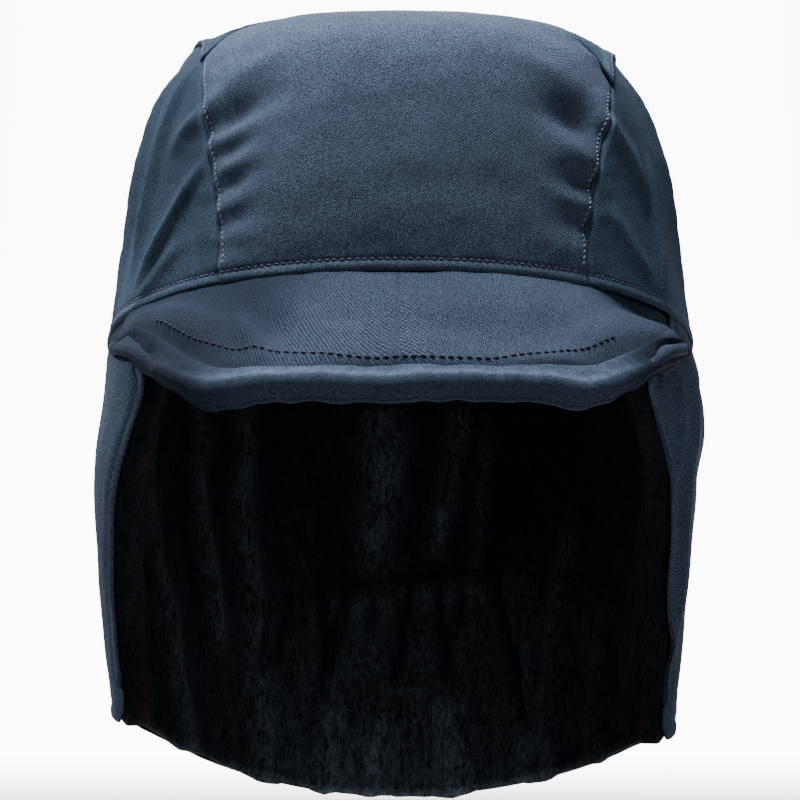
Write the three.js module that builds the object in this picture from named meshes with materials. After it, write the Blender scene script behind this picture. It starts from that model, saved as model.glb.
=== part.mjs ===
// A winter work cap: a twill crown of four panels, a short soft peak with a bound edge, and a pile-lined
// ear and neck flap that hangs below the crown. It is shown as a head holds it.
// Sizes are in millimetres. +Z is up and the face looks along -Y, so +X is on the wearer's left.
// The origin is the inside of the crown where the top of the head touches it.
import * as THREE from 'three';

const CLOTH = 1.2; // twill shell
const PILE = 4.6; // fleece lining
const PEAK_CLOTH = 3.4; // two layers of twill over a soft stiffener
const GAP = 0.35; // clearance between neighbouring pieces
const LINING_GAP = 0.9; // between the crown's shell and its lining, whose facets differ
const PILE_GAP = 0.65; // between the flap's shell, which has folds of its own, and its lining
const TILT = 13; // degrees: the crown sits with its front edge raised
const EGG = 2.15; // exponent of the crown's plan, 2 being an ellipse
const FRONT_RIM = -84.2; // height of the crown's front edge, measured from the crest
const HEART = { y: 6, aboveRim: 30 }; // walls of the crown are offset towards this point
const CLIMB_LENGTH = 168; // cloth from the crown's lower edge to its top
const TURN_LENGTH = 1.7; // cloth in one degree of turn
const SEAM_TURN = 0.14; // half a seam's clearance, in degrees of turn
const SEAM_CLIMB = 0.0016; // and as a share of the climb
// The turned lower edge: how far it stands out, and the shares of the climb between which it ends.
const WELT = { bulge: 1.3, from: 0.014, to: 0.024 };
const LINING_SPLIT = 0.6; // share of the climb at which the lining's top piece meets its two sides

// Sections of the crown from its lower edge to its top. climb is the share of the way up, height is above
// the edge, and side, front and back are how far the section reaches from the axis.
const CROWN = [
  { climb: 0, height: 0, side: 94.2, front: 105, back: 103 },
  { climb: 0.17, height: 27.6, side: 88.6, front: 105.5, back: 105 },
  { climb: 0.33, height: 55, side: 84.8, front: 100.5, back: 103 },
  { climb: 0.46, height: 75.7, side: 79, front: 91, back: 96 },
  { climb: 0.57, height: 87.6, side: 73.4, front: 78, back: 86 },
  { climb: 0.67, height: 95.9, side: 68.4, front: 60, back: 73 },
  { climb: 0.82, height: 102.7, side: 54, front: 33, back: 45 },
  { climb: 1, height: 104.2, side: 0, front: 0, back: 0 },
];

// Heights of the flap below the crest, with its half width, its reach at the front and back, and how far
// the section is shifted towards +X.
const FLAP = [
  { height: -108, side: 95.6, front: 103, back: 101, shift: 0.8 },
  { height: -124, side: 96.4, front: 105, back: 101, shift: 0.6 },
  { height: -145, side: 97.0, front: 108, back: 103, shift: -1.2 },
  { height: -165, side: 96.2, front: 108, back: 103, shift: -1.8 },
  { height: -192, side: 94.0, front: 106, back: 97, shift: -2.1 },
  { height: -215, side: 91.6, front: 104, back: 100, shift: -2.0 },
  { height: -262, side: 85.0, front: 98, back: 104, shift: -1.6 },
];

// Where the panels meet: the seam on each side of the front panel, from the lower edge to the panel's corner.
// Turns are degrees from the front. Left is the wearer's left, which is +X.
const SEAMS = {
  left: { rimTurn: 33.2, cornerTurn: 49, cornerClimb: 0.43 },
  right: { rimTurn: 31.8, cornerTurn: 48.4, cornerClimb: 0.5 },
  lean: 1.9,
  crestClimb: 0.745,
  middleClimb: 0.475,
};
const TOP_EDGE = 0.9; // how far the top panel's edge stands over the panels below it
const TOP_SEAM = [
  { turn: 49, rise: 0 },
  { turn: 60, rise: 0.115 },
  { turn: 76, rise: 0.18 },
  { turn: 96, rise: 0.19 },
  { turn: 132, rise: 0.15 },
  { turn: 180, rise: 0.11 },
];

// Puckers of the front panel, each a ridge that leaves a side seam. side is -1 at -X, length and width are
// along and across the ridge, lean is degrees above the level line, and lift is its height.
const PUCKERS = [
  { side: -1, climb: 0.1, length: 20, width: 4.5, lean: 34, lift: 1.5 },
  { side: -1, climb: 0.2, length: 22, width: 4.5, lean: 32, lift: 1.9 },
  { side: -1, climb: 0.31, length: 24, width: 4.5, lean: 28, lift: 2.3 },
  { side: -1, climb: 0.42, length: 20, width: 6, lean: 14, lift: 1.6 },
  { side: 1, climb: 0.12, length: 22, width: 5, lean: 32, lift: 1.4 },
  { side: 1, climb: 0.22, length: 26, width: 4.5, lean: 32, lift: 1.8 },
  { side: 1, climb: 0.32, length: 26, width: 4.5, lean: 26, lift: 2.2 },
  { side: 1, climb: 0.42, length: 22, width: 6, lean: 16, lift: 1.6 },
];

const PUCKER_START = 0.3; // share of a pucker's length over which it rises from the seam

// Long soft folds of the side panels, from one place to another on the crown.
const CROWN_FOLDS = [
  { turn: -76, climb: 0.03, toTurn: -50, toClimb: 0.3, width: 8, lift: 2.6 },
  { turn: -88, climb: 0.1, toTurn: -60, toClimb: 0.46, width: 6, lift: 1.6 },
  { turn: -112, climb: 0.04, toTurn: -92, toClimb: 0.4, width: 9, lift: 1.8 },
  { turn: 80, climb: 0.03, toTurn: 68, toClimb: 0.34, width: 8, lift: 2.2 },
  { turn: 98, climb: 0.06, toTurn: 78, toClimb: 0.42, width: 7, lift: 1.8 },
  { turn: 128, climb: 0.03, toTurn: 112, toClimb: 0.36, width: 9, lift: 1.6 },
];
// Shares of a fold's length over which it rises at its start and fades at its end.
const FOLD_FADE = { rise: [-0.15, 0.2], fall: [0.7, 1.15] };

// Drape folds of the flap's shell. Heights are below the crest, and lean is degrees of turn per 100 mm.
const FLAP_FOLDS = [
  { turn: -96, top: -116, bottom: -178, lean: -10, width: 7, lift: 1.6 },
  { turn: -124, top: -128, bottom: -228, lean: 8, width: 9, lift: 1.8 },
  { turn: 74, top: -112, bottom: -190, lean: -8, width: 6, lift: 1.8 },
  { turn: 92, top: -112, bottom: -150, lean: 6, width: 7, lift: 2.2 },
  { turn: 122, top: -126, bottom: -232, lean: -7, width: 9, lift: 1.8 },
];

// Folds of the pile inside the flap, each a ridge that stands towards the head.
const PILE_FOLDS = [
  { turn: -118, top: -150, bottom: -236, lean: -24, width: 8, lift: 3.2 },
  { turn: -136, top: -122, bottom: -190, lean: -6, width: 5, lift: 3.0 },
  { turn: -147, top: -122, bottom: -205, lean: 0, width: 5, lift: 3.2 },
  { turn: -176, top: -126, bottom: -200, lean: 3, width: 9, lift: 4.2 },
  { turn: 166, top: -128, bottom: -196, lean: 2, width: 5, lift: 3.4 },
  { turn: 154, top: -150, bottom: -250, lean: -6, width: 5, lift: 2.8 },
  { turn: 141, top: -176, bottom: -254, lean: -10, width: 7, lift: 2.6 },
];
const DRAPE_FADE = { below: 16, past: 12, above: 8, inside: 14 }; // how a drape fold fades at its two ends
// Pleats under the nape: period and spread are shares of half the flap's width, and they fade between heights.
const GATHER = { top: [-202, -190], foot: [-262, -226], period: 0.06, spread: [0.175, 0.25], lift: 3 };

// Turn of the flap's two front edges at each height.
const FLAP_EDGES = [
  { height: -100, left: 61.5, right: 61.5 },
  { height: -130, left: 62.5, right: 63 },
  { height: -146, left: 67.5, right: 68 },
  { height: -161, left: 70, right: 71 },
  { height: -180, left: 70, right: 75 },
  { height: -200, left: 70, right: 76.5 },
  { height: -216, left: 73.5, right: 77 },
  { height: -232, left: 76, right: 79 },
];
const HEM = { left: -231.5, right: -226, back: -260, corner: 13, bend: 0.8 }; // its heights and front corners
const EDGE_ROLL = { thick: 9.4, wide: 9.6, flat: 5, edge: 0.45 }; // the pile rolled along each front edge
const FLAP_TOP = -106; // height of the flap's upper edge at its front corners
const FLAP_JOIN = 0.22; // share of the way down over which the flap takes its own form
const FOLD_JOIN = 0.1; // share of the way down over which its folds rise
const PILE_JOIN = 0.12; // and over which the pile's folds do
const BACK_SEAM = 180; // turn at which the two side panels meet
const NAPE_SPREAD = 0.001; // half the clearance between the flap lining's halves, as a share of one half

// The peak: the turn of its two ends, and its outline seen from above, a rounded crescent.
const PEAK = { endTurn: 60.2, halfWidth: 88, start: -53, reach: 94, round: 2.7, crown: 2.6 };
// Height of the peak's outer edge below the crest, by the share of its half width.
const PEAK_EDGE = [
  { share: 0, height: -116.7 },
  { share: 0.45, height: -117.4 },
  { share: 0.64, height: -118.8 },
  { share: 0.8, height: -113.6 },
  { share: 0.92, height: -107.4 },
  { share: 1, height: -106.2 },
];
// Cross-section of the bound edge: half thickness, half height, and how far its middle hangs.
const BINDING = { thick: 2.3, tall: 4.9, endTall: 4.6, hang: 3.2, round: 2.6, ends: 0.995 };

const RADIANS = Math.PI / 180;
const mix = (a, b, share) => a + (b - a) * share;
const clamp = (x) => Math.min(1, Math.max(0, x));
const ease = (a, b, x) => {
  const share = clamp((x - a) / (b - a));
  return share * share * (3 - 2 * share);
};
const bell = (x) => Math.exp(-x * x);

// A smooth curve through one column of a table, read at any value of its key column.
function curve(rows, key, column) {
  const slope = (i) => {
    const before = rows[Math.max(i - 1, 0)];
    const after = rows[Math.min(i + 1, rows.length - 1)];
    return (after[column] - before[column]) / (after[key] - before[key]);
  };
  return (at) => {
    const last = rows.length - 2;
    const rising = rows[1][key] > rows[0][key];
    let i = 0;
    while (i < last && (rising ? at > rows[i + 1][key] : at < rows[i + 1][key])) i += 1;
    const span = rows[i + 1][key] - rows[i][key];
    const t = clamp((at - rows[i][key]) / span);
    const bend = (slope(i) * (1 - t) - slope(i + 1) * t) * span * t * (1 - t);
    const step = (rows[i + 1][column] - rows[i][column]) * t * (1 - t) * (2 * t - 1);
    return mix(rows[i][column], rows[i + 1][column], t) + bend + step;
  };
}

// The crown's table goes on past the top as its own mirror image, so that the top is round.
const past = CROWN[CROWN.length - 2];
const CROWN_ROWS = [
  ...CROWN,
  { climb: 2 - past.climb, height: past.height, side: -past.side, front: -past.front, back: -past.back },
];
const crownAt = {};
for (const column of ['height', 'side', 'front', 'back']) {
  crownAt[column] = curve(CROWN_ROWS, 'climb', column);
}
const flapAt = {};
for (const column of ['side', 'front', 'back', 'shift']) {
  flapAt[column] = curve(FLAP, 'height', column);
}
const flapEdge = { left: curve(FLAP_EDGES, 'height', 'left'), right: curve(FLAP_EDGES, 'height', 'right') };
const topSeamRise = curve(TOP_SEAM, 'turn', 'rise');
const peakEdgeHeight = curve(PEAK_EDGE, 'share', 'height');

// A point of an egg-shaped section, from its reach to the side, front and back.
function egg(turn, side, front, back) {
  const sin = Math.sin(turn * RADIANS);
  const cos = Math.cos(turn * RADIANS);
  const stretch = side / (cos > 0 ? front : back);
  const radius = side / (Math.abs(sin) ** EGG + Math.abs(cos * stretch) ** EGG) ** (1 / EGG);
  return [radius * sin, -radius * cos];
}

const cosTilt = Math.cos(TILT * RADIANS);
const sinTilt = Math.sin(TILT * RADIANS);
const rimMiddle = FRONT_RIM - CROWN[0].front * sinTilt; // height of the lower edge's middle
const heart = new THREE.Vector3(0, HEART.y, rimMiddle + HEART.aboveRim);

// The crown's smooth form, before folds.
function crownForm(turn, climb) {
  if (climb >= 1) return tilted(0, 0, CROWN[CROWN.length - 1].height);
  const [x, y] = egg(turn, crownAt.side(climb), crownAt.front(climb), crownAt.back(climb));
  return tilted(x, y, crownAt.height(climb));
}

function tilted(x, y, height) {
  return new THREE.Vector3(x, y * cosTilt + height * sinTilt, rimMiddle - y * sinTilt + height * cosTilt);
}

// How much the crown's ridges lift its shell at a place.
function crownLift(turn, climb, inFront) {
  const lifts = [0];
  if (inFront) {
    for (const row of PUCKERS) {
      const across = (seamTurn(row.side, climb) - turn * row.side) * TURN_LENGTH;
      const up = (climb - row.climb) * CLIMB_LENGTH - Math.max(across, 0) * Math.tan(row.lean * RADIANS);
      const along = across / row.length;
      lifts.push(row.lift * bell(up / row.width) * clamp(1 - along) * ease(0, PUCKER_START, along));
    }
  }
  for (const row of CROWN_FOLDS) {
    const run = [(row.toTurn - row.turn) * TURN_LENGTH, (row.toClimb - row.climb) * CLIMB_LENGTH];
    const here = [(turn - row.turn) * TURN_LENGTH, (climb - row.climb) * CLIMB_LENGTH];
    const size = Math.hypot(...run);
    const along = (here[0] * run[0] + here[1] * run[1]) / size / size;
    const off = (here[0] * run[1] - here[1] * run[0]) / size;
    const fade = ease(...FOLD_FADE.rise, along) * (1 - ease(...FOLD_FADE.fall, along));
    lifts.push(row.lift * bell(off / row.width) * fade);
  }
  return Math.max(...lifts);
}

// The front seams lean outwards on their way up to the corners of the front panel.
const seamOf = (turn) => (turn < 0 ? SEAMS.right : SEAMS.left);
const seamTurn = (side, climb) => {
  const seam = seamOf(side);
  return mix(seam.rimTurn, seam.cornerTurn, clamp(climb / seam.cornerClimb) ** SEAMS.lean);
};

// The top seam runs over the front panel and falls to its corners, then rises along the side panels.
function topSeam(turn) {
  const away = Math.abs(turn);
  const { cornerTurn, cornerClimb } = seamOf(turn);
  if (away < cornerTurn) {
    return mix(cornerClimb, SEAMS.crestClimb, Math.sqrt(1 - (away / cornerTurn) ** 4));
  }
  return mix(cornerClimb, SEAMS.middleClimb, ease(cornerTurn, 120, away)) + topSeamRise(away);
}

// A place on the crown, depth being how far it lies under the outside of the shell.
function crown(turn, climb, depth, lift = 0) {
  const place = crownForm(turn, climb);
  const out = place.clone().sub(heart).normalize();
  return place.addScaledVector(out, lift - depth).toArray();
}

// A closed body between two grids of points. outer and inner give a place from shares across and up. round
// joins the last column to the first, and apex makes the last row a single point.
function body({ columns, rows, outer, inner, round = false, apex = false }) {
  const points = [];
  const known = new Map();
  const corner = (side, i, j) => {
    const column = round ? i % columns : i;
    const key = apex && j === rows ? side : `${side} ${column} ${j}`;
    if (!known.has(key)) {
      known.set(key, points.length / 3);
      points.push(...(side === 'outer' ? outer : inner)(column / columns, j / rows));
    }
    return known.get(key);
  };
  const faces = [];
  const quad = (...ring) => {
    for (const [a, b, c] of [[ring[0], ring[1], ring[2]], [ring[0], ring[2], ring[3]]]) {
      if (a !== b && b !== c && c !== a) faces.push(a, b, c);
    }
  };
  const strip = (i0, j0, i1, j1) => quad(
    corner('outer', i0, j0), corner('inner', i0, j0), corner('inner', i1, j1), corner('outer', i1, j1));
  for (let i = 0; i < columns; i += 1) {
    for (let j = 0; j < rows; j += 1) {
      const ring = [[i, j], [i + 1, j], [i + 1, j + 1], [i, j + 1]];
      quad(...ring.map(([a, b]) => corner('outer', a, b)));
      quad(...ring.reverse().map(([a, b]) => corner('inner', a, b)));
    }
    strip(i, 0, i + 1, 0);
    if (!apex) strip(i + 1, rows, i, rows);
  }
  for (let j = 0; j < rows && !round; j += 1) {
    strip(0, j + 1, 0, j);
    strip(columns, j, columns, j + 1);
  }
  return closed(points, faces);
}

// A closed body swept along a path: section gives the ring of places at a share of the way.
function sweep({ stations, sides, section }) {
  const points = [];
  const faces = [];
  for (let i = 0; i <= stations; i += 1) {
    for (let k = 0; k < sides; k += 1) points.push(...section(i / stations, k / sides));
  }
  const at = (i, k) => i * sides + (k % sides);
  for (let k = 0; k < sides; k += 1) {
    for (let i = 0; i < stations; i += 1) {
      faces.push(at(i, k), at(i, k + 1), at(i + 1, k + 1), at(i, k), at(i + 1, k + 1), at(i + 1, k));
    }
    if (k > 0 && k < sides - 1) {
      faces.push(at(0, 0), at(0, k + 1), at(0, k), at(stations, 0), at(stations, k), at(stations, k + 1));
    }
  }
  return closed(points, faces);
}

// The geometry of a closed surface, with its faces turned outwards.
function closed(points, faces) {
  let volume = 0;
  const at = (i) => new THREE.Vector3().fromArray(points, 3 * i);
  for (let i = 0; i < faces.length; i += 3) {
    volume += at(faces[i]).dot(at(faces[i + 1]).cross(at(faces[i + 2])));
  }
  const geometry = new THREE.BufferGeometry();
  geometry.setAttribute('position', new THREE.Float32BufferAttribute(points, 3));
  geometry.setIndex(volume > 0 ? faces : faces.reverse());
  geometry.computeVertexNormals();
  return geometry;
}

// Rows of a crown panel: the first three make its turned lower edge, and the rest are even.
const WELT_ROWS = [0, 0.011, 0.026];
const ROW_SPACING = 1.25; // over 1 brings the upper rows closer together

function panelRow(share, rows) {
  const row = Math.round(share * rows);
  if (row < WELT_ROWS.length) return WELT_ROWS[row];
  const last = WELT_ROWS.length - 1;
  return mix(WELT_ROWS[last], 1, 1 - (1 - (row - last) / (rows - last)) ** ROW_SPACING);
}

const weltBulge = (climb) => WELT.bulge * (1 - ease(WELT.from, WELT.to, climb));

function panelWall(place, inFront) {
  const side = (depth) => (u, v) => {
    const [turn, climb] = place(u, v);
    return crown(turn, climb, depth, crownLift(turn, climb, inFront) + weltBulge(climb));
  };
  return { outer: side(0), inner: side(CLOTH) };
}

// Panels share their rows, and the top panel has a column wherever they have one, so seams stay even.
const ROWS = 12;
const FRONT_COLUMNS = 20;
const SIDE_COLUMNS = 18;
const frontShare = (u) => Math.sin((u - 0.5) * Math.PI);
const frontTurn = (u) => frontShare(u) * seamOf(u - 0.5).cornerTurn;
const sideTurn = (u, from) => mix(from, BACK_SEAM, u ** 1.1);
const TOP_TURNS = [];
for (let i = 0; i <= FRONT_COLUMNS; i += 1) TOP_TURNS.push(frontTurn(i / FRONT_COLUMNS));
for (let i = 1; i <= SIDE_COLUMNS; i += 1) {
  TOP_TURNS.push(sideTurn(i / SIDE_COLUMNS, SEAMS.left.cornerTurn));
}
for (let i = SIDE_COLUMNS - 1; i > 0; i -= 1) {
  TOP_TURNS.push(-sideTurn(i / SIDE_COLUMNS, SEAMS.right.cornerTurn));
}

function frontPanel() {
  const place = (u, v) => {
    const share = panelRow(v, ROWS);
    const side = Math.sign(u - 0.5);
    const climb = share * (topSeam(frontTurn(u)) - SEAM_CLIMB);
    const turn = Math.abs(frontShare(u)) * (seamTurn(side, share * seamOf(side).cornerClimb) - SEAM_TURN);
    return [side * turn, climb];
  };
  return body({ columns: FRONT_COLUMNS, rows: ROWS, ...panelWall(place, true) });
}

function sidePanel(side) {
  const { cornerTurn, cornerClimb } = seamOf(side);
  const place = (u, v) => {
    const share = panelRow(v, ROWS);
    const turn = sideTurn(u, seamTurn(side, share * cornerClimb)) + SEAM_TURN * (1 - 2 * u);
    const top = topSeam(side * sideTurn(u, cornerTurn));
    return [side * turn, share * (top - SEAM_CLIMB)];
  };
  return body({ columns: SIDE_COLUMNS, rows: ROWS, ...panelWall(place, false) });
}

function topPanel() {
  const columns = TOP_TURNS.length;
  const side = (depth) => (u, v) => {
    const turn = TOP_TURNS[Math.round(u * columns)];
    const climb = mix(topSeam(turn) + SEAM_CLIMB, 1, v ** 1.35);
    return crown(turn, climb, depth, crownLift(turn, climb, false) + TOP_EDGE * (1 - ease(0, 0.35, v)));
  };
  return body({ columns, rows: 7, outer: side(0), inner: side(CLOTH), round: true, apex: true });
}

// The lining is cut in three: a wall on each side, and a top that closes it.
function liningWall(side) {
  const surface = (depth) => (u, v) => {
    const turn = mix(SEAM_TURN, BACK_SEAM - SEAM_TURN, u);
    return crown(side * turn, v * (LINING_SPLIT - SEAM_CLIMB), depth);
  };
  const depth = CLOTH + LINING_GAP;
  return body({ columns: 20, rows: 6, outer: surface(depth), inner: surface(depth + PILE) });
}

function liningTop() {
  const surface = (depth) => (u, v) => {
    return crown(u * 360 - (u > 0.5 ? 360 : 0), mix(LINING_SPLIT + SEAM_CLIMB, 1, v), depth);
  };
  const depth = CLOTH + LINING_GAP;
  return body({
    columns: 40, rows: 5, outer: surface(depth), inner: surface(depth + PILE), round: true, apex: true,
  });
}

// The hem falls to the back, and is rounded at the flap's two front corners.
function hem(turn, edge) {
  const low = turn < 0 ? HEM.right : HEM.left;
  const behind = Math.max(0, -Math.cos(turn * RADIANS));
  const inset = clamp(1 - ((Math.abs(turn) - edge) * TURN_LENGTH) / HEM.corner);
  return mix(low, HEM.back, behind ** 2) + HEM.corner * (1 - Math.sqrt(1 - inset * inset)) * HEM.bend;
}

function foldLift(rows, turn, height) {
  return Math.max(0, ...rows.map((row) => {
    const middle = row.turn + ((row.top - height) / 100) * row.lean;
    const off = ((turn - middle + 540) % 360) - 180;
    const { below, past, above, inside } = DRAPE_FADE;
    const foot = ease(row.bottom - past, row.bottom + below, height);
    const head = 1 - ease(row.top - inside, row.top + above, height);
    return row.lift * bell((off * TURN_LENGTH) / row.width) * foot * head;
  }));
}

// Pleats under the nape, spread evenly across the back.
function gatherLift(spread, height) {
  const away = 1 - Math.abs(spread);
  const wave = 0.5 + 0.5 * Math.cos((away / GATHER.period) * 2 * Math.PI);
  const fade = (1 - ease(...GATHER.top, height)) * ease(...GATHER.foot, height);
  return GATHER.lift * wave * fade * (1 - ease(...GATHER.spread, away));
}

// Columns of the flap, from each front edge to the middle of the back: even within a zone, and closer
// together at the rolled edge and the nape.
const FLAP_ZONES = [
  { to: 0.02, columns: 1 },
  { to: 0.11, columns: 3 },
  { to: 0.76, columns: 11 },
  { to: 1, columns: 8 },
];
const FLAP_SPREADS = [-1];
for (const [i, zone] of FLAP_ZONES.entries()) {
  const from = i ? FLAP_ZONES[i - 1].to : 0;
  for (let k = 1; k <= zone.columns; k += 1) FLAP_SPREADS.push(mix(from, zone.to, k / zone.columns) - 1);
}
for (let k = FLAP_SPREADS.length - 2; k >= 0; k -= 1) FLAP_SPREADS.push(-FLAP_SPREADS[k]);
const FLAP_GRID = { columns: FLAP_SPREADS.length - 1, rows: 9 };

// A place on the flap. spread runs from -1 at the wearer's left front edge, round the back, to 1 at the
// right one, and down from the crown's edge to the hem. depth is measured from the outside of the shell.
function flap(spread, down, depth, lift = () => 0) {
  const side = spread <= 0 ? 'left' : 'right';
  const turnAt = (height) => spread * (180 - flapEdge[side](height)) + (spread <= 0 ? 180 : -180);
  let turn = turnAt(mix(FLAP_TOP, HEM[side], down));
  let height = mix(crownForm(turn, 0).z - GAP, hem(turn, flapEdge[side](HEM[side])), down);
  turn = turnAt(height);
  const rim = crownForm(turn, 0);
  height = mix(rim.z - GAP, hem(turn, flapEdge[side](height)), down);
  const [x, y] = egg(turn, flapAt.side(height), flapAt.front(height), flapAt.back(height));
  const join = ease(0, FLAP_JOIN, down);
  const place = [mix(rim.x, x + flapAt.shift(height), join), mix(rim.y, y, join)];
  const reach = Math.hypot(...place);
  const share = (reach - depth(turn, height) + lift(turn, height) * ease(0, FOLD_JOIN, down)) / reach;
  return [place[0] * share, place[1] * share, height];
}

const spreadOf = (u) => FLAP_SPREADS[Math.round(u * FLAP_GRID.columns)];

function flapShell() {
  const lift = (turn, height) => foldLift(FLAP_FOLDS, turn, height);
  const side = (depth) => (u, v) => flap(spreadOf(u), v, () => depth, lift);
  return body({ ...FLAP_GRID, outer: side(0), inner: side(CLOTH) });
}

// The pile is thicker along the front edges, where it rolls round the edge of the shell.
function pileDepth(turn, height) {
  const edge = flapEdge[turn < 0 ? 'right' : 'left'](height);
  const inset = (Math.abs(turn) - edge) * TURN_LENGTH;
  const roll = (EDGE_ROLL.thick - PILE) * bell(Math.max(0, inset - EDGE_ROLL.flat) / EDGE_ROLL.wide);
  return (PILE + roll) * Math.sqrt(clamp(EDGE_ROLL.edge + inset / EDGE_ROLL.flat));
}

// The flap's lining is in two halves that meet at the nape.
function flapLining(side) {
  const columns = FLAP_GRID.columns / 2;
  const spreadAt = (u) => {
    const spread = FLAP_SPREADS[Math.round(u * columns)];
    return side * Math.max(-spread, NAPE_SPREAD);
  };
  const top = CLOTH + PILE_GAP;
  const outer = (u, v) => flap(-spreadAt(u), v, () => top);
  const inner = (u, v) => flap(-spreadAt(u), v, (turn, height) => {
    const ridges = Math.max(foldLift(PILE_FOLDS, turn, height), gatherLift(spreadAt(u), height));
    return top + mix(PILE, pileDepth(turn, height) + ridges, ease(0, PILE_JOIN, v));
  });
  return body({ columns, rows: FLAP_GRID.rows, outer, inner });
}

// The peak's outer edge, by a share from -1 at its left end to 1 at its right end.
function peakEdge(share) {
  const angle = share * 90 * RADIANS;
  const x = PEAK.halfWidth * Math.sign(share) * Math.abs(Math.sin(angle)) ** (2 / PEAK.round);
  const y = PEAK.start - PEAK.reach * Math.abs(Math.cos(angle)) ** (2 / PEAK.round);
  return new THREE.Vector3(x, y, peakEdgeHeight(Math.abs(x) / PEAK.halfWidth));
}

function peak() {
  const surface = (under) => (u, v) => {
    const share = 2 * u - 1;
    const root = crownForm(share * PEAK.endTurn, 0);
    root.z -= GAP;
    const edge = peakEdge(share);
    const place = root.clone().lerp(edge, v);
    const arch = PEAK.crown * Math.sin(v * Math.PI) * (1 - share ** 4);
    const wall = PEAK_CLOTH * mix(1.15, 1, v) * (under ? 1 : 0);
    return [place.x, place.y, place.z + arch - wall];
  };
  return body({ columns: 32, rows: 4, outer: surface(false), inner: surface(true) });
}

// The binding follows the peak's outer edge just clear of it, as an upright flattened roll.
function binding() {
  const section = (along, around) => {
    const share = mix(-BINDING.ends, BINDING.ends, along);
    const before = peakEdge(share - 0.01);
    const after = peakEdge(share + 0.01);
    const out = new THREE.Vector3(after.y - before.y, before.x - after.x, 0).normalize();
    const angle = around * 2 * Math.PI;
    const rounded = (value) => Math.sign(value) * Math.abs(value) ** (2 / BINDING.round);
    const tall = mix(BINDING.tall, BINDING.endTall, share ** 8);
    const place = peakEdge(share).addScaledVector(out, GAP + BINDING.thick * (1 + rounded(Math.cos(angle))));
    return [place.x, place.y, place.z - BINDING.hang + tall * rounded(Math.sin(angle))];
  };
  return sweep({ stations: 44, sides: 10, section });
}

// Inside of the crown straight above the middle of the lower edge, where the head touches.
function seatHeight() {
  const depth = CLOTH + LINING_GAP + PILE;
  let low = 0.6;
  let high = 1;
  for (let i = 0; i < 40; i += 1) {
    const middle = (low + high) / 2;
    if (crown(0, middle, depth)[1] < 0) low = middle;
    else high = middle;
  }
  return crown(0, low, depth)[2];
}

const TWILL = { color: 0x2c3e52, roughness: 0.85, metalness: 0 };
const FLEECE = { color: 0x10161b, roughness: 1, metalness: 0 };

const pieces = {
  crown_front_panel: [frontPanel(), TWILL],
  crown_side_panel_left: [sidePanel(1), TWILL],
  crown_side_panel_right: [sidePanel(-1), TWILL],
  crown_top_panel: [topPanel(), TWILL],
  crown_lining_left: [liningWall(1), FLEECE],
  crown_lining_right: [liningWall(-1), FLEECE],
  crown_lining_top: [liningTop(), FLEECE],
  peak: [peak(), TWILL],
  peak_binding: [binding(), TWILL],
  flap_shell: [flapShell(), TWILL],
  flap_lining_left: [flapLining(1), FLEECE],
  flap_lining_right: [flapLining(-1), FLEECE],
};

const cap = new THREE.Group();
for (const [name, [geometry, finish]] of Object.entries(pieces)) {
  const mesh = new THREE.Mesh(geometry, new THREE.MeshStandardMaterial(finish));
  mesh.name = name;
  mesh.position.z = -seatHeight();
  cap.add(mesh);
}

export default cap;
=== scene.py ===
import math

import bpy
import numpy as np
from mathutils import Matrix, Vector


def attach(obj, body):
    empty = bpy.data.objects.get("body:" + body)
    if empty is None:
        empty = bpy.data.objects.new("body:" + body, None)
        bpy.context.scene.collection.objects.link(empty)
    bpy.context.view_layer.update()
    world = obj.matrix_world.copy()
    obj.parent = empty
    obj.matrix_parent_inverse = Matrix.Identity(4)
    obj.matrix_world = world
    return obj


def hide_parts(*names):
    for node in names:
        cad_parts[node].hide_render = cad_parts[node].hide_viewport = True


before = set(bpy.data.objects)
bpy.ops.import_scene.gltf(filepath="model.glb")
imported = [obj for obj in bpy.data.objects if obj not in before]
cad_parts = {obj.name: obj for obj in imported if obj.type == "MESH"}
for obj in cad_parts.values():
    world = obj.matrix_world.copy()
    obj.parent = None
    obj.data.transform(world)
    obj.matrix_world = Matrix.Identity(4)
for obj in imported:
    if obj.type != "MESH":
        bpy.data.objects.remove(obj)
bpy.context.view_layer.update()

# The camera is level, straight in front of the cap, as in the photograph.
CAMERA_Y = -1.4
CAMERA_Z = -0.1153
LENS = 195.3

CLOTH = 1.2  # twill
PILE = 4.6  # fleece
PEAK_CLOTH = 3.4
GAP = 0.35
LINING_GAP = 0.9
PILE_GAP = 0.65
TILT = math.radians(13)  # the crown sits with its front edge raised
EGG = 2.15
FRONT_RIM = -84.2
HEART = (6.0, 30.0)  # walls are offset towards this point: its y, and its height over the lower edge
CLIMB_LENGTH = 168.0  # cloth from the crown's lower edge to its top
TURN_LENGTH, PUCKER_TURN = 1.7, 1.62  # cloth in one degree of turn, near the lower edge and at the puckers
SEAM_TURN = 0.10
SEAM_CLIMB = 0.0012
TUCK_TURN, TUCK_CLIMB = 0.4, 0.006  # how far a side panel reaches under its neighbours

# Sections of the crown: climb, height, side, front, back.
CROWN = np.array([
    (0, 0, 94.2, 105, 103),
    (0.17, 27.6, 88.6, 105.5, 105),
    (0.33, 55, 84.8, 100.5, 103),
    (0.46, 75.7, 79, 91, 96),
    (0.57, 87.6, 73.4, 78, 86),
    (0.67, 95.9, 68.4, 60, 73),
    (0.82, 102.7, 54, 33, 45),
    (1, 104.2, 0, 0, 0),
    (1.18, 102.7, -54, -33, -45),
])
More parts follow.
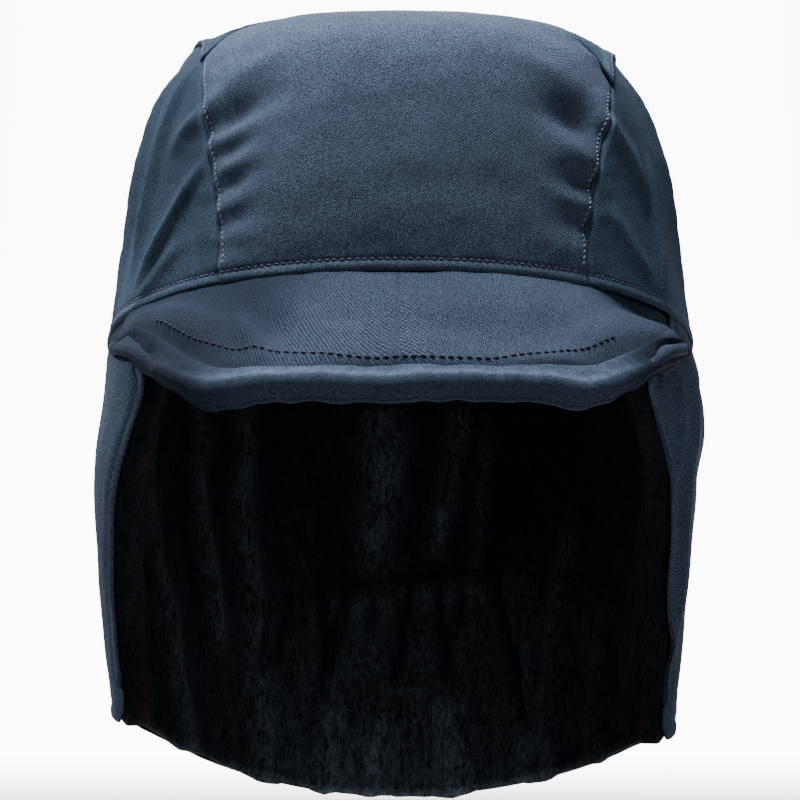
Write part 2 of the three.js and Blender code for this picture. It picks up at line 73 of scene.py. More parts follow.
# Sections of the flap: height, side, front, back, shift.
FLAP = np.array([
    (-108, 95.6, 103, 101, 0.8),
    (-124, 96.4, 105, 101, 0.6),
    (-145, 97.0, 108, 103, -1.2),
    (-165, 96.2, 108, 103, -1.8),
    (-192, 94.0, 106, 97, -2.1),
    (-215, 91.6, 104, 100, -2.0),
    (-262, 85.0, 98, 104, -1.6),
])
# The seams beside the front panel: turn at the lower edge, turn and climb at the panel's corner.
SEAM_LEFT = (33.2, 49.0, 0.43)
SEAM_RIGHT = (31.8, 48.4, 0.5)
SEAM_LEAN = 1.9
CREST_CLIMB = 0.745
MIDDLE_CLIMB = 0.475
TOP_EDGE = 0.9
# The top seam's rise over a plain slope: turn, rise.
TOP_SEAM = np.array([(49, 0), (60, 0.115), (76, 0.18), (96, 0.19), (132, 0.15), (180, 0.11)])

# Puckers of the front panel: turn, climb, length, width, lean, lift (dents below nought).
PUCKERS = [
    (-31.5, 0.333, 12, 6.4, -20, -4.0), (-32, 0.292, 10, 3.7, -20, 1.4), (-31.5, 0.257, 9, 3.4, -20, -1.7),
    (-31, 0.225, 9, 3.4, -20, 1.1), (-31, 0.19, 8, 3.4, -20, -1.5), (-30, 0.155, 9, 3.6, -16, 0.9),
    (-30, 0.122, 8, 3.8, -14, -1.0), (-29, 0.085, 9, 4, -10, 0.6), (-28, 0.43, 12, 5, -22, 0.9),
    (33.5, 0.327, 12, 7.2, 10, -4.4), (32.5, 0.257, 10, 6, 9, 1.7), (34, 0.2, 9, 4.6, 8, -2.2),
    (32, 0.163, 9, 3.2, 8, 0.9), (32, 0.12, 9, 5, 8, -1.5), (30, 0.068, 9, 3.6, 6, 0.7),
    (30, 0.42, 12, 5, 18, 1.0), (-12, 0.07, 20, 5, -4, 0.35), (10, 0.16, 22, 6, 4, -0.4),
]
# Long soft folds of the side panels: turn, climb, to turn, to climb, width, lift.
CROWN_FOLDS = [
    (-52, 0.48, -61, 0.1, 3.4, 1.9), (-38, 0.24, -57, 0.05, 2.8, 1.8), (-68, 0.5, -72, 0.03, 3.6, 2.0),
    (-80, 0.42, -84, 0.1, 3.4, 1.6), (-36, 0.37, -49, 0.3, 4.0, 1.3), (-42, 0.1, -56, 0.02, 2.8, 0.9),
    (-98, 0.1, -88, 0.46, 6, 1.6), (-128, 0.04, -112, 0.4, 8, 1.8), (-152, 0.1, -150, 0.38, 9, 1.2),
    (40, 0.36, 57, 0.22, 5, 1.5), (60, 0.3, 56, 0.02, 3.4, 1.9), (72, 0.5, 80, 0.06, 6, 1.8),
    (40, 0.16, 52, 0.05, 3.4, 0.9), (98, 0.06, 86, 0.42, 7, 1.6), (128, 0.03, 112, 0.36, 8, 1.6),
    (154, 0.08, 148, 0.4, 9, 1.3),
]
SIDE_FOLD_SCALE = 1.35
# Drape folds of the flap's shell: turn, top, bottom, lean, width, lift.
FLAP_FOLDS = [
    (-96, -116, -178, -10, 7, 1.6), (-124, -128, -228, 8, 9, 1.8), (60, -108, -150, 9, 2.6, 2.0),
    (70, -104, -210, -3, 3.6, 2.2), (84, -98, -120, 0, 7, 2.4), (92, -112, -150, 6, 7, 2.2),
    (122, -126, -232, -7, 9, 1.8),
]
# Folds of the pile inside the flap, in the same columns.
PILE_FOLDS = [
    (-111, -112, -262, -13, 7.5, 3.8), (-131, -104, -212, -8, 4.6, 4.0), (-145, -104, -212, -4, 4.6, 4.2),
    (-177.5, -104, -184, 2, 7.5, 5.4), (165, -104, -184, 9, 4.2, 4.8), (162, -132, -190, 1, 3.2, 3.2),
    (152, -178, -270, -3, 6.5, 3.4), (140, -160, -270, 8, 4.4, 4.6), (130, -200, -270, 0, 4.5, 3.2),
    (-167, -212, -270, 4, 4.4, 3.2), (-150, -206, -270, -3, 6, 2.6), (-176, -222, -270, 3, 4.6, 2.4),
    (170, -216, -270, -5, 5, 3.0), (112, -120, -250, 5, 8, 2.0),
]
# Puckers under the pile's gathering line: turn, top, bottom, lean, width, depth.
GATHERS = [  # leans are in degrees over 30 mm, and over 100 mm in the tables above
    (-164, -184, -216, -2, 1.5, 3.0), (-170, -184, -224, 4, 1.5, 3.2), (180, -184, -208, -2, 1.2, 2.2),
    (176, -182, -220, 3, 1.3, 3.0), (171.5, -178, -224, -2, 1.4, 3.4), (158, -182, -236, -4, 1.5, 3.2),
    (165, -186, -206, 3, 1.2, 2.0), (-157, -188, -214, 3, 1.4, 2.2), (-176, -188, -204, 2, 1.1, 1.8),
    (151, -188, -220, 2, 1.4, 2.0), (-149, -190, -214, -3, 1.5, 1.8),
]
GATHER_LINE, GATHER_SLOPE = -186.0, 0.19  # height of that line, and its fall for each degree
# Turn of the flap's front edges: height, left, right.
FLAP_EDGES = np.array([
    (-100, 61.5, 61.5), (-108, 60.5, 61), (-113, 55.5, 58.5), (-119, 51.5, 56.5), (-130, 54, 59),
    (-145, 61.5, 63.3), (-162, 64.3, 68), (-179, 63.8, 71.5), (-196, 66, 73.4), (-215, 71.5, 73.6),
    (-232, 73.7, 74),
])
EDGE_BEND, EDGE_BEND_LOW, EDGE_BEND_WIDE = 3.2, 2.0, 22.0  # how the front edges turn in towards the face
HEM_LEFT, HEM_RIGHT, HEM_BACK = -231.5, -226.0, -260.0
HEM_CORNER, HEM_BEND = 13.0, 0.8
FLAP_TOP, FLAP_JOIN = -106.0, 0.22
FLAP_DROP, FLAP_HALF = 140, 190  # the flap's rough height, and half of its length round the neck
TUCK_IN, TUCK_UP = 1.5, 3.2  # how the flap's top goes in under the crown's lower edge
ROLL_THICK, ROLL_WIDE, ROLL_FLAT, ROLL_EDGE = 9.4, 9.6, 5.0, 0.45
PEAK_TURN, PEAK_HALF, PEAK_START, PEAK_REACH, PEAK_ROUND, PEAK_CROWN = 60.2, 88.0, -53.0, 94.0, 2.7, 2.6
PEAK_WIDE, PEAK_DEEP = 92, 46  # cloth across half of the peak, and from its root to its edge
# Height of the peak's outer edge by the share of its half width.
PEAK_EDGE = np.array([
    (0, -116.7), (0.45, -117.4), (0.64, -118.8), (0.8, -113.6), (0.92, -107.4), (1, -106.2),
])
# The peak's own dimples and ridges: share, distance out, length, width, lean, lift.
PEAK_DENTS = [
    (-0.32, 0.62, 10, 2.6, 58, 2.6), (-0.265, 0.5, 10, 4.0, 58, -3.6), (0.15, 0.6, 14, 7, 10, -2.2),
    (-0.42, 0.4, 12, 7, 40, -1.8), (0.36, 0.5, 12, 6, -20, -1.4),
    (0.2, 0.35, 16, 6, 0, 0.5), (-0.5, 0.75, 9, 5, -30, -0.6), (0.45, 0.8, 12, 4, 20, -0.6),
]
# Share of the way from the peak's root at which its rolled edge begins, by share along the peak.
LIP_START = np.array([
    (-1, 0.9), (-0.83, 0.876), (-0.746, 0.74), (-0.586, 0.762), (-0.492, 0.80), (-0.416, 0.843),
    (-0.342, 0.886), (-0.249, 0.945), (-0.159, 0.95), (0, 0.93), (0.075, 0.945), (0.195, 0.935),
    (0.336, 0.88), (0.432, 0.853), (0.512, 0.836), (0.6, 0.836), (0.663, 0.87), (0.75, 0.92), (1, 0.95),
])
# How far the rolled edge hangs below the peak's outer edge, by the same share.
LIP_DROP = np.array([
    (-1, 3.0), (-0.9, 3.6), (-0.7, 6.4), (-0.6, 5.8), (-0.5, 5.6), (-0.415, 6.4), (-0.35, 7.8), (-0.28, 8.3),
    (-0.22, 7.4), (0, 7.2), (0.2, 7.0), (0.33, 7.4), (0.38, 6.4), (0.46, 6.0), (0.55, 6.1), (0.7, 7.2),
    (0.9, 6.0), (1, 5.0),
])


def mix(a, b, share):
    return a + (b - a) * share


def ease(a, b, x):
    share = np.clip((x - a) / (b - a), 0, 1)
    return share * share * (3 - 2 * share)


def bell(x):
    return np.exp(-x * x)


def unit(vectors):
    return vectors / np.maximum(np.linalg.norm(vectors, axis=-1, keepdims=True), 1e-9)


def turned(x, y, degrees):
    cos, sin = math.cos(math.radians(degrees)), math.sin(math.radians(degrees))
    return x * cos - y * sin, x * sin + y * cos


def dent(x, y, length, width, lean, lift):
    """A long soft dent or ridge, seen from x, y off its middle."""
    along, across = turned(x, y, lean)
    return lift * bell(along / length) * bell(across / width)


def curve(table, column=1):
    """A smooth curve through a table's column, over its first one."""
    keys, values = table[:, 0], table[:, column]
    order = 1 if keys[1] > keys[0] else -1
    i = np.arange(len(keys))
    before, after = np.maximum(i - 1, 0), np.minimum(i + 1, i[-1])
    slopes = (values[after] - values[before]) / (keys[after] - keys[before])

    def at(x):
        k = np.clip(np.searchsorted(order * keys, order * np.asarray(x, float)) - 1, 0, i[-1] - 1)
        span = keys[k + 1] - keys[k]
        t = np.clip((x - keys[k]) / span, 0, 1)
        bend = (slopes[k] * (1 - t) - slopes[k + 1] * t) * span * t * (1 - t)
        step = (values[k + 1] - values[k]) * t * (1 - t) * (2 * t - 1)
        return mix(values[k], values[k + 1], t) + bend + step

    return at


CROWN_HEIGHT, CROWN_SIDE, CROWN_FRONT, CROWN_BACK = (curve(CROWN, k) for k in range(1, 5))
FLAP_SIDE, FLAP_FRONT, FLAP_BACK, FLAP_SHIFT = (curve(FLAP, k) for k in range(1, 5))
EDGE_LEFT, EDGE_RIGHT = curve(FLAP_EDGES), curve(FLAP_EDGES, 2)
TOP_RISE, PEAK_HEIGHT = curve(TOP_SEAM), curve(PEAK_EDGE)
LIP_INSIDE, LIP_BELOW = curve(LIP_START), curve(LIP_DROP)


def grids(*values):
    return np.broadcast_arrays(*(np.asarray(v, float) for v in values))


def ripple(points, wavelength, seed, waves=7):
    """Smooth unevenness of about one in size, the same on every run."""
    rng = np.random.default_rng(seed)
    total = 0
    for _ in range(waves):
        way = rng.normal(size=3)
        way *= 2 * math.pi / np.linalg.norm(way) / (wavelength * rng.uniform(0.75, 1.4))
        total = total + np.sin(points @ way + rng.uniform(0, 2 * math.pi))
    return total / math.sqrt(waves)


def grain(points, size, seed):
    """Lattice noise from -1 to 1 with cells of the given size."""
    places = points / size
    cell = np.floor(places).astype(np.int64)
    t = places - cell
    t = t * t * (3 - 2 * t)
    total = 0
    for corner in range(8):
        step = np.array([corner & 1, corner >> 1 & 1, corner >> 2])
        i = cell + step
        mixed = i[..., 0] * 73856093 ^ i[..., 1] * 19349663 ^ i[..., 2] * 83492791 ^ seed * 2654435761
        mixed = (mixed ^ mixed >> 13) * 1274126177
        value = (mixed >> 8 & 0xFFFF) / 32767.5 - 1
        total = total + value * np.prod(np.where(step, t, 1 - t), axis=-1)
    return total


# The crown's form, by turn in degrees from the front and climb from 0 at its lower edge to 1.
def egg(turn, side, front, back):
    sin, cos = np.sin(np.radians(turn)), np.cos(np.radians(turn))
    reach = np.where(cos > 0, front, back)
    stretch = np.where(reach > 1e-6, side / np.maximum(reach, 1e-6), 1)
    radius = side / (np.abs(sin) ** EGG + np.abs(cos * stretch) ** EGG) ** (1 / EGG)
    return radius * sin, -radius * cos


RIM_MIDDLE = FRONT_RIM - CROWN[0, 3] * math.sin(TILT)
HEART_POINT = np.array([0, HEART[0], RIM_MIDDLE + HEART[1]])


def crown_form(turn, climb):
    turn, climb = grids(turn, climb)
    climb = np.minimum(climb, 1)
    x, y = egg(turn, CROWN_SIDE(climb), CROWN_FRONT(climb), CROWN_BACK(climb))
    height = CROWN_HEIGHT(climb)
    cos, sin = math.cos(TILT), math.sin(TILT)
    return np.stack([x, y * cos + height * sin, RIM_MIDDLE - y * sin + height * cos], axis=-1)


def crown(turn, climb, lift):
    place = crown_form(turn, climb)
    return place + unit(place - HEART_POINT) * np.asarray(lift)[..., None]


def seat_height():
    """Height of the lining's inside at the crest, where the head touches it: the frame's origin."""
    depth = -(CLOTH + LINING_GAP + PILE)
    low, high = 0.6, 1.0
    for _ in range(40):
        middle = (low + high) / 2
        low, high = (middle, high) if crown(0, middle, depth)[1] < 0 else (low, middle)
    return float(crown(0, low, depth)[2])


SEAT = np.array([0, 0, seat_height()])


def metres(points):
    return (points - SEAT) / 1000


def seam(side, column):
    return np.where(np.asarray(side) < 0, SEAM_RIGHT[column], SEAM_LEFT[column])


def seam_turn(side, climb):
    up = np.clip(climb / seam(side, 2), 0, 1) ** SEAM_LEAN
    return mix(seam(side, 0), seam(side, 1), up)


def top_seam(turn):
    away = np.abs(turn)
    corner, climb = seam(turn, 1), seam(turn, 2)
    front = mix(climb, CREST_CLIMB, np.sqrt(1 - np.minimum(away / corner, 1) ** 4))
    behind = mix(climb, MIDDLE_CLIMB, ease(corner, 120, away)) + TOP_RISE(away)
    return np.where(away < corner, front, behind)


def smooth_max(lifts):
    return np.sum([np.maximum(x, 0) ** 3 for x in lifts], axis=0) ** (1 / 3)


def pucker_lift(turn, climb):
    return sum(
        dent((turn - at) * PUCKER_TURN, (climb - up) * CLIMB_LENGTH, *shape) for at, up, *shape in PUCKERS)


def side_fold_lift(turn, climb):
    lifts = []
    for turn_0, climb_0, turn_1, climb_1, width, lift in CROWN_FOLDS:
        run_x, run_y = (turn_1 - turn_0) * TURN_LENGTH, (climb_1 - climb_0) * CLIMB_LENGTH
        x, y = (turn - turn_0) * TURN_LENGTH, (climb - climb_0) * CLIMB_LENGTH
        size = np.hypot(run_x, run_y)
        along = (x * run_x + y * run_y) / size ** 2
        off = (x * run_y - y * run_x) / size
        lifts.append(lift * bell(off / width) * ease(-0.15, 0.2, along) * (1 - ease(0.7, 1.15, along)))
    return SIDE_FOLD_SCALE * smooth_max(lifts)


WELT_TALL = 2.7  # the turned lower edge
RIM_STITCH = 3.5  # height of its row of stitches over the edge
SEAM_STITCH = 1.9  # distance of the front seams' stitches from the seam
TOP_STITCH = 1.8  # and of the top panel's from its edge


def welt_lift(height):
    """The rolled lower edge: a round bead, then the groove of its stitches."""
    bead = np.sqrt(np.clip(1 - ((height - WELT_TALL / 2) / (WELT_TALL / 2)) ** 2, 0, 1))
    return 0.34 * bead - 0.28 * bell((height - RIM_STITCH) / 0.7)


def seam_lift(distance, stitch, ridge, dip=-0.4):
    """Cloth beside a seam: it dips in, stands over its own turnings, and is pulled in by stitches."""
    dip = dip * bell(distance / 0.8)
    padding = ridge * ease(0.4, 1.5, distance) * (1 - ease(4.5, 8.0, distance))
    groove = -0.3 * bell((distance - stitch) / 0.55) if stitch else 0
    return dip + padding + groove


def cloth_waves(points):
    return 0.28 * ripple(points, 46, 3) + 0.12 * ripple(points, 17, 5) + 0.05 * ripple(points, 7, 8)


def degree_length(turn, climb):
    place = crown_form(turn, climb)
    return np.hypot(place[..., 0], place[..., 1]) * math.pi / 180


def seam_waves(turn, climb, distance, lift, fade, wavelength, seed):
    """Unevenness of the cloth beside a front seam."""
    flat = crown_form(turn, climb) * np.array([0.25, 0.3, 1])
    return lift * np.exp(-np.maximum(distance, 0) / fade) * ripple(flat, wavelength, seed)


def shell_lift(turn, climb, panel):
    """How far the outside of a crown panel stands off the smooth form."""
    lift = side_fold_lift(turn, climb) + cloth_waves(crown_form(turn, climb))
    to_seam = (seam_turn(np.sign(turn), climb) - np.abs(turn)) * degree_length(turn, climb)
    to_top = (top_seam(turn) - climb) * CLIMB_LENGTH
    if panel == "top":
        edge = mix(-0.9, TOP_EDGE + 0.3, ease(38, 50, np.abs(turn)))
        return lift + edge * (1 - ease(0, 9, -to_top)) + seam_lift(-to_top, TOP_STITCH, 0.3, -0.3)
    if panel == "front":
        lift = lift + pucker_lift(turn, climb) + seam_waves(turn, climb, to_seam, 0.55, 7, 8.5, 17)
        lift = lift + seam_lift(to_seam, SEAM_STITCH, 0.45) + seam_lift(to_top, 0, 0.1)
    else:
        lift = lift + seam_waves(turn, climb, -to_seam, 0.3, 6, 9.5, 18)
        lift = lift + seam_lift(-to_seam, 0, 0.25, -1.0)
        lift = lift - 0.8 * ease(0.2, -1.2, to_top) - 0.4 * ease(-1, 0.4, to_seam)
        lift = lift + seam_lift((180 - np.abs(turn)) * degree_length(turn, climb), 0, 0.25)
    return lift + welt_lift(climb * CLIMB_LENGTH)


# The flap's form, and the pile on its inside.
def hem_height(turn, edge):
    low = np.where(turn < 0, HEM_RIGHT, HEM_LEFT)
    behind = np.maximum(0, -np.cos(np.radians(turn)))
    inset = np.clip(1 - (np.abs(turn) - edge) * TURN_LENGTH / HEM_CORNER, 0, 1)
    return mix(low, HEM_BACK, behind ** 2) + HEM_CORNER * (1 - np.sqrt(1 - inset ** 2)) * HEM_BEND


def off_fold(turn, height, at, top, lean, drop):
    """Degrees off a hanging fold, which starts at a turn and leans by some degrees for each drop."""
    return (turn - at - (top - height) / drop * lean + 540) % 360 - 180


def drape_lift(folds, turn, height):
    lifts = []
    for at, top, bottom, lean, width, lift in folds:
        off = off_fold(turn, height, at, top, lean, 100)
        fade = ease(bottom - 12, bottom + 16, height) * (1 - ease(top - 14, top + 8, height))
        lifts.append(lift * bell(off * TURN_LENGTH / width) * fade)
    return smooth_max(lifts)


def behind(turn):
    """Degrees from the middle of the back, towards the wearer's right."""
    return (turn + 360) % 360 - 180


def gather_line(turn):
    return GATHER_LINE - GATHER_SLOPE * np.clip(behind(turn), -40, 40)


def gathered(turn):
    return ease(-28, -20, behind(turn)) * (1 - ease(13, 20, behind(turn)))


def gather_lift(turn, height):
    """The puckers hanging from the pile's gathering line."""
    total = 0
    for at, top, bottom, lean, width, depth in GATHERS:
        off = off_fold(turn, height, at, top, lean, 30)
        fade = ease(bottom - 6, bottom + 8, height) * (1 - ease(top - 3, top + 2, height))
        total = total - 1.3 * depth * bell(off * TURN_LENGTH / (1.15 * width)) * fade
    over = height - gather_line(turn)
    puff = 1.6 * ease(-14, -2, over) * (1 - ease(-2, 0, over))
    return total + gathered(turn) * (puff - 1.8 * bell((over - 0.6) / 1.0))


def edge_turn(left, height):
    return np.where(left, EDGE_LEFT(height), EDGE_RIGHT(height))


def flap(spread, down, lift):
    """A place on the flap: spread from -1 at the wearer's left front edge, round the back, to 1."""
    spread, down = grids(spread, down)
    left = spread <= 0
    low = np.where(left, HEM_LEFT, HEM_RIGHT)
    height = mix(FLAP_TOP, low, down)
    for _ in range(2):
        turn = spread * (180 - edge_turn(left, height)) + np.where(left, 180, -180)
        rim = crown_form(turn, 0)
        height = low = mix(rim[..., 2] - GAP, hem_height(turn, edge_turn(left, low)), down)
    x, y = egg(turn, FLAP_SIDE(height), FLAP_FRONT(height), FLAP_BACK(height))
    join = ease(0, FLAP_JOIN, down)
    x = mix(rim[..., 0], x + FLAP_SHIFT(height), join)
    y = mix(rim[..., 1], y, join)
    reach = np.hypot(x, y)
    tuck = 1 - ease(0, 0.05, down)
    bend = mix(EDGE_BEND_LOW, EDGE_BEND, ease(-200, -150, height)) * ease(0, 0.1, down)
    bend = bend * np.clip(1 - flap_inset(turn, height) / EDGE_BEND_WIDE, 0, 1) ** 2
    share = (reach + lift(turn, height, spread, down) - TUCK_IN * tuck - bend) / reach
    return np.stack([x * share, y * share, height + TUCK_UP * tuck], axis=-1)


def flap_inset(turn, height):
    """Distance behind the front edge."""
    return (np.abs(turn) - edge_turn(turn >= 0, height)) * TURN_LENGTH


EDGE_STITCH, HEM_STITCH = 2.6, 7.0  # distance of the flap's stitches from its front edge and its hem


def flat_flap(turn, height):
    return np.stack([turn * TURN_LENGTH, height, np.zeros_like(turn)], axis=-1)


def shell_flap_lift(turn, height, spread, down):
    inset = flap_inset(turn, height)
    above = (1 - down) * FLAP_DROP
    lift = drape_lift(FLAP_FOLDS, turn, height) * ease(0, 0.1, down)
    flat = flat_flap(turn, height)
    lift = lift + ease(0, 0.12, down) * (0.45 * ripple(flat, 60, 11) + 0.2 * ripple(flat, 21, 12))
    lift = lift + 0.06 * ripple(flat, 8, 14)
    roll = -0.3 * bell((inset - EDGE_STITCH) / 0.7) + 0.25 * bell((inset - 5.5) / 2.2)
    hem = 0.5 * np.sqrt(np.clip(1 - ((above - 2.6) / 3.4) ** 2, 0, 1))
    hem = hem - 0.3 * bell((above - HEM_STITCH) / 0.8) - 0.7 * bell(above / 0.9)
    return lift + roll + hem


def pile_depth(turn, height):
    inset = flap_inset(turn, height)
    roll = (ROLL_THICK - PILE) * bell(np.maximum(0, inset - ROLL_FLAT) / ROLL_WIDE)
    return (PILE + roll) * np.sqrt(np.clip(ROLL_EDGE + inset / ROLL_FLAT, 0, 1))


PILE_SPREAD, PILE_DOWN = 0.99, 0.985  # the pile's edges roll out to the shell's


def pile_inner_lift(turn, height, spread, down):
    ridges = drape_lift(PILE_FOLDS, turn, height) + gather_lift(turn, height)
    depth = mix(PILE, pile_depth(turn, height) + ridges, ease(0, 0.12, down))
    flat = flat_flap(turn, height)
    streaks = flat * np.array([1, 0.35, 1])
    tufts = 0.4 * grain(streaks, 1.6, 21) + 0.22 * grain(streaks, 0.9, 22) + 0.25 * grain(streaks, 4.5, 23)
    waves = 0.9 * ripple(flat * np.array([1, 0.3, 1]), 34, 24) + 0.4 * ripple(streaks, 13, 25)
    return -(CLOTH + PILE_GAP + depth) + tufts + waves * ease(0, 0.15, down)


def pile_painted_light(turn, height):
    """Painted light and shade on the pile: lighter over its folds, below the gathering line and on its puffs,
    darker in the puckers, between the folds and towards the wearer's right.
    """
    painted_level = 0.04 + 1.0 * np.clip(drape_lift(PILE_FOLDS, turn, height) / 4.2, 0, 1) ** 1.3
    around = behind(turn)
    over = height - gather_line(turn)
    below = 1 - mix(ease(-50, 50, over), ease(-9, 3, over), gathered(turn))
    painted_level = painted_level + 0.45 * below * (1 - ease(25, 75, around) * 0.7) * ease(-75, -50, around)
    painted_level = painted_level + np.clip(gather_lift(turn, height), -2.4, 0.8) * 0.3
    return np.clip(painted_level - 0.25 * ease(25, 60, around), 0, 1)


# The peak's form, by share from -1 to 1 across it.
def peak_edge(share):
    share = np.asarray(share, float)
    sin, cos = np.abs(np.sin(share * math.pi / 2)), np.abs(np.cos(share * math.pi / 2))
    x = PEAK_HALF * np.sign(share) * sin ** (2 / PEAK_ROUND)
    y = PEAK_START - PEAK_REACH * cos ** (2 / PEAK_ROUND)
    return np.stack([x, y, PEAK_HEIGHT(np.abs(x) / PEAK_HALF)], axis=-1)


def peak_surface(share, v, under):
    """A place on the peak's upper or under side: v from 0 at its root to 1 at its edge."""
    share, v = grids(share, v)
    root = crown_form(share * PEAK_TURN, 0)
    tucked = ease(0.48, 0.72, share)
    root[..., :2] *= 1 - 0.03 * tucked[..., None]
    root[..., 2] -= GAP + 4.2 * tucked * ease(0.02, 0.16, v)
    place = mix(root, peak_edge(share), v[..., None])
    place[..., 2] += PEAK_CROWN * np.sin(v * math.pi) * (1 - share ** 4)
    if under:
        place[..., 2] -= PEAK_CLOTH * mix(1.15, 1, v)
        return place
    inboard = (1 - v) * np.linalg.norm(peak_edge(share) - root, axis=-1)
    row = 7.2 + 4.5 * np.abs(share) ** 3
    place[..., 2] += -0.45 * bell((inboard - row) / 1.1) + 0.3 * ripple(place, 34, 31)
    place[..., 2] += 0.12 * ripple(place, 12, 32)
    ends = ease(0.3, 0.5, np.abs(share)) * (1 - ease(0.86, 0.97, np.abs(share)))
    to_lip = v - LIP_INSIDE(share)
    place[..., 2] -= 3.2 * bell((to_lip + 0.05) / 0.07) * ends
    place[..., 2] += 1.0 * bell((to_lip + 0.3) / 0.13) * ends
    place[..., 2] -= 0.9 * bell((to_lip + 0.03) / 0.03) * (1 - ends)
    for at, out, length, width, lean, lift in PEAK_DENTS:
        place[..., 2] += dent((share - at) * PEAK_WIDE, (v - out) * PEAK_DEEP, length, width, -lean, lift)
    return place


# Meshes.
def graded(count, finer=0.7):
    """Shares from 0 to 1, closer together at both ends."""
    t = np.linspace(0, 1, count + 1)
    return t - finer * np.sin(2 * math.pi * t) / (2 * math.pi)


def running(points, axis):
    """Length along each row or column of a grid, from its start."""
    steps = np.linalg.norm(np.diff(points, axis=axis), axis=-1)
    return np.insert(np.cumsum(steps, axis=axis), 0, 0, axis=axis)


def arc_lengths(points):
    """Cloth coordinates of a grid: along each row from its middle, and up each column."""
    u = running(points, 1)
    return np.stack([u - u[:, u.shape[1] // 2][:, None], running(points, 0)], axis=-1)


def mesh_object(name, vertices, faces, material, uv=None, **paint):
    """An object from its vertices, its faces and the cloth coordinates of each face's corners."""
    mesh = bpy.data.meshes.new(name)
    mesh.from_pydata(metres(vertices).tolist(), [], faces)
    if uv is not None:
        mesh.uv_layers.new(name="cloth").data.foreach_set("uv", np.asarray(uv / 1000, np.float32).ravel())
    for key, values in paint.items():
        layer = mesh.attributes.new(key, "FLOAT", "POINT")
        layer.data.foreach_set("value", np.asarray(values, np.float32).ravel())
    return placed(mesh, material)


def placed(mesh, material):
    mesh.materials.append(material)
    mesh.polygons.foreach_set("use_smooth", np.ones(len(mesh.polygons), bool))
    mesh.update()
    thing = bpy.data.objects.new(mesh.name, mesh)
    bpy.context.scene.collection.objects.link(thing)
    return thing


def dressed(piece, slot, *nodes):
    """A finished piece, on the part's one body, in place of the given nodes."""
    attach(piece, "root")
    if nodes:
        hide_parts(*nodes)
    return piece


def rounded_edges(outer, inner, closed, apex):
    """Both sides of a wall of cloth with one more row and column at each open edge, for a rounded edge."""
    def past(near, nearer, other):
        across = near - other
        bulge = 0.42 * np.linalg.norm(across, axis=-1, keepdims=True)
        middle = (near + other) / 2 + unit(near - nearer) * bulge
        return middle + across * 0.24, middle - across * 0.24

    low, high = past(outer[0], outer[1], inner[0]), past(outer[-1], outer[-2], inner[-1])
    sides = [outer, inner]
    sides = [np.concatenate([low[k][None], sides[k]] + ([] if apex else [high[k][None]])) for k in (0, 1)]
    if not closed:
        outer, inner = sides
        first = past(outer[:, 0], outer[:, 1], inner[:, 0])
        last = past(outer[:, -1], outer[:, -2], inner[:, -1])
        sides = [np.concatenate([first[k][:, None], sides[k], last[k][:, None]], axis=1) for k in (0, 1)]
    return sides


def padded_like(values, outer):
    """A grid of values with its edge rows and columns repeated where the wall has got more of them."""
    rows, columns = (outer.shape[k] - values.shape[k] for k in (0, 1))
    more = ((min(rows, 1), max(rows - 1, 0)), (columns // 2, columns - columns // 2))
    return np.pad(values, more, mode="edge")


def wall(name, outer, inner, material, uv=None, closed=False, apex=False, **paint):
    """A closed wall of cloth between two grids of points, rows upwards and columns towards +turn.
    closed joins the last column to the first, and apex makes the last row a single point.
    Each paint is a pair of grids, for the two sides."""
    outer, inner = rounded_edges(outer, inner, closed, apex)
    rows, columns = outer.shape[:2]
    shift = rows * columns
    index = np.arange(shift).reshape(rows, columns)
    if apex:
        index[-1] = index[-1, 0]
    right = np.roll(index, -1, axis=1) if closed else index[:, 1:]
    left = index if closed else index[:, :-1]

    def strip(a, b):
        return np.stack([a, b, b + shift, a + shift], axis=-1)

    quads = np.stack([left[:-1], right[:-1], right[1:], left[1:]], axis=-1).reshape(-1, 4)
    parts = [quads, quads[:, ::-1] + shift, np.roll(strip(right[0], left[0]), -1, axis=1)]
    if not apex:
        parts.append(strip(left[-1], right[-1]))
    if not closed:
        parts += [strip(index[:-1, 0], index[1:, 0]), strip(index[1:, -1], index[:-1, -1])]
    faces = np.concatenate(parts)
    if uv is None:
        uv = arc_lengths(outer)
    else:
        uv = np.stack([padded_like(uv[..., k], outer) for k in (0, 1)], axis=-1)
    inner_uv = uv + np.sign(uv - uv.reshape(-1, 2).mean(axis=0)) * CLOTH
    own = faces != np.roll(faces, 1, axis=1)
    corner_uv = np.concatenate([uv.reshape(-1, 2), inner_uv.reshape(-1, 2)])[faces][own]
    used, faces = np.unique(faces, return_inverse=True)
    faces = [face[mine].tolist() for face, mine in zip(faces.reshape(-1, 4), own)]
    vertices = np.concatenate([outer.reshape(-1, 3), inner.reshape(-1, 3)])[used]
    for key, pair in paint.items():
        paint[key] = np.array([padded_like(side, outer) for side in pair]).ravel()[used]
    return mesh_object(name, vertices, faces, material, corner_uv, **paint)


def tube_faces(rows, sides):
    """The faces round a tube, from its rows of places."""
    index = np.arange(rows * sides).reshape(rows, sides)
    right = np.roll(index, -1, axis=1)
    return np.stack([index[:-1], right[:-1], right[1:], index[1:]], axis=-1).reshape(-1, 4)


def tubes(name, lines, radius, material, sides=6):
    """One object from many short closed tubes; each line is its middle points, and radius a list along it."""
    points, faces = [], []
    turn = np.arange(sides) * 2 * math.pi / sides
    for line in lines:
        n = len(line)
        along = unit(np.gradient(line, axis=0))
        side = unit(np.cross(along, np.array([0.31, 0.27, 0.91])))
        other = np.cross(along, side)
        round_it = side[:, None] * np.cos(turn)[None, :, None] + other[:, None] * np.sin(turn)[None, :, None]
        start = len(points)
        points.extend((line[:, None] + radius[:n, None, None] * round_it).reshape(-1, 3))
        faces += (start + tube_faces(n, sides)).tolist()
        faces.append([start + k for k in range(sides - 1, -1, -1)])
        faces.append([start + (n - 1) * sides + k for k in range(sides)])
    return mesh_object(name, np.array(points), faces, material)


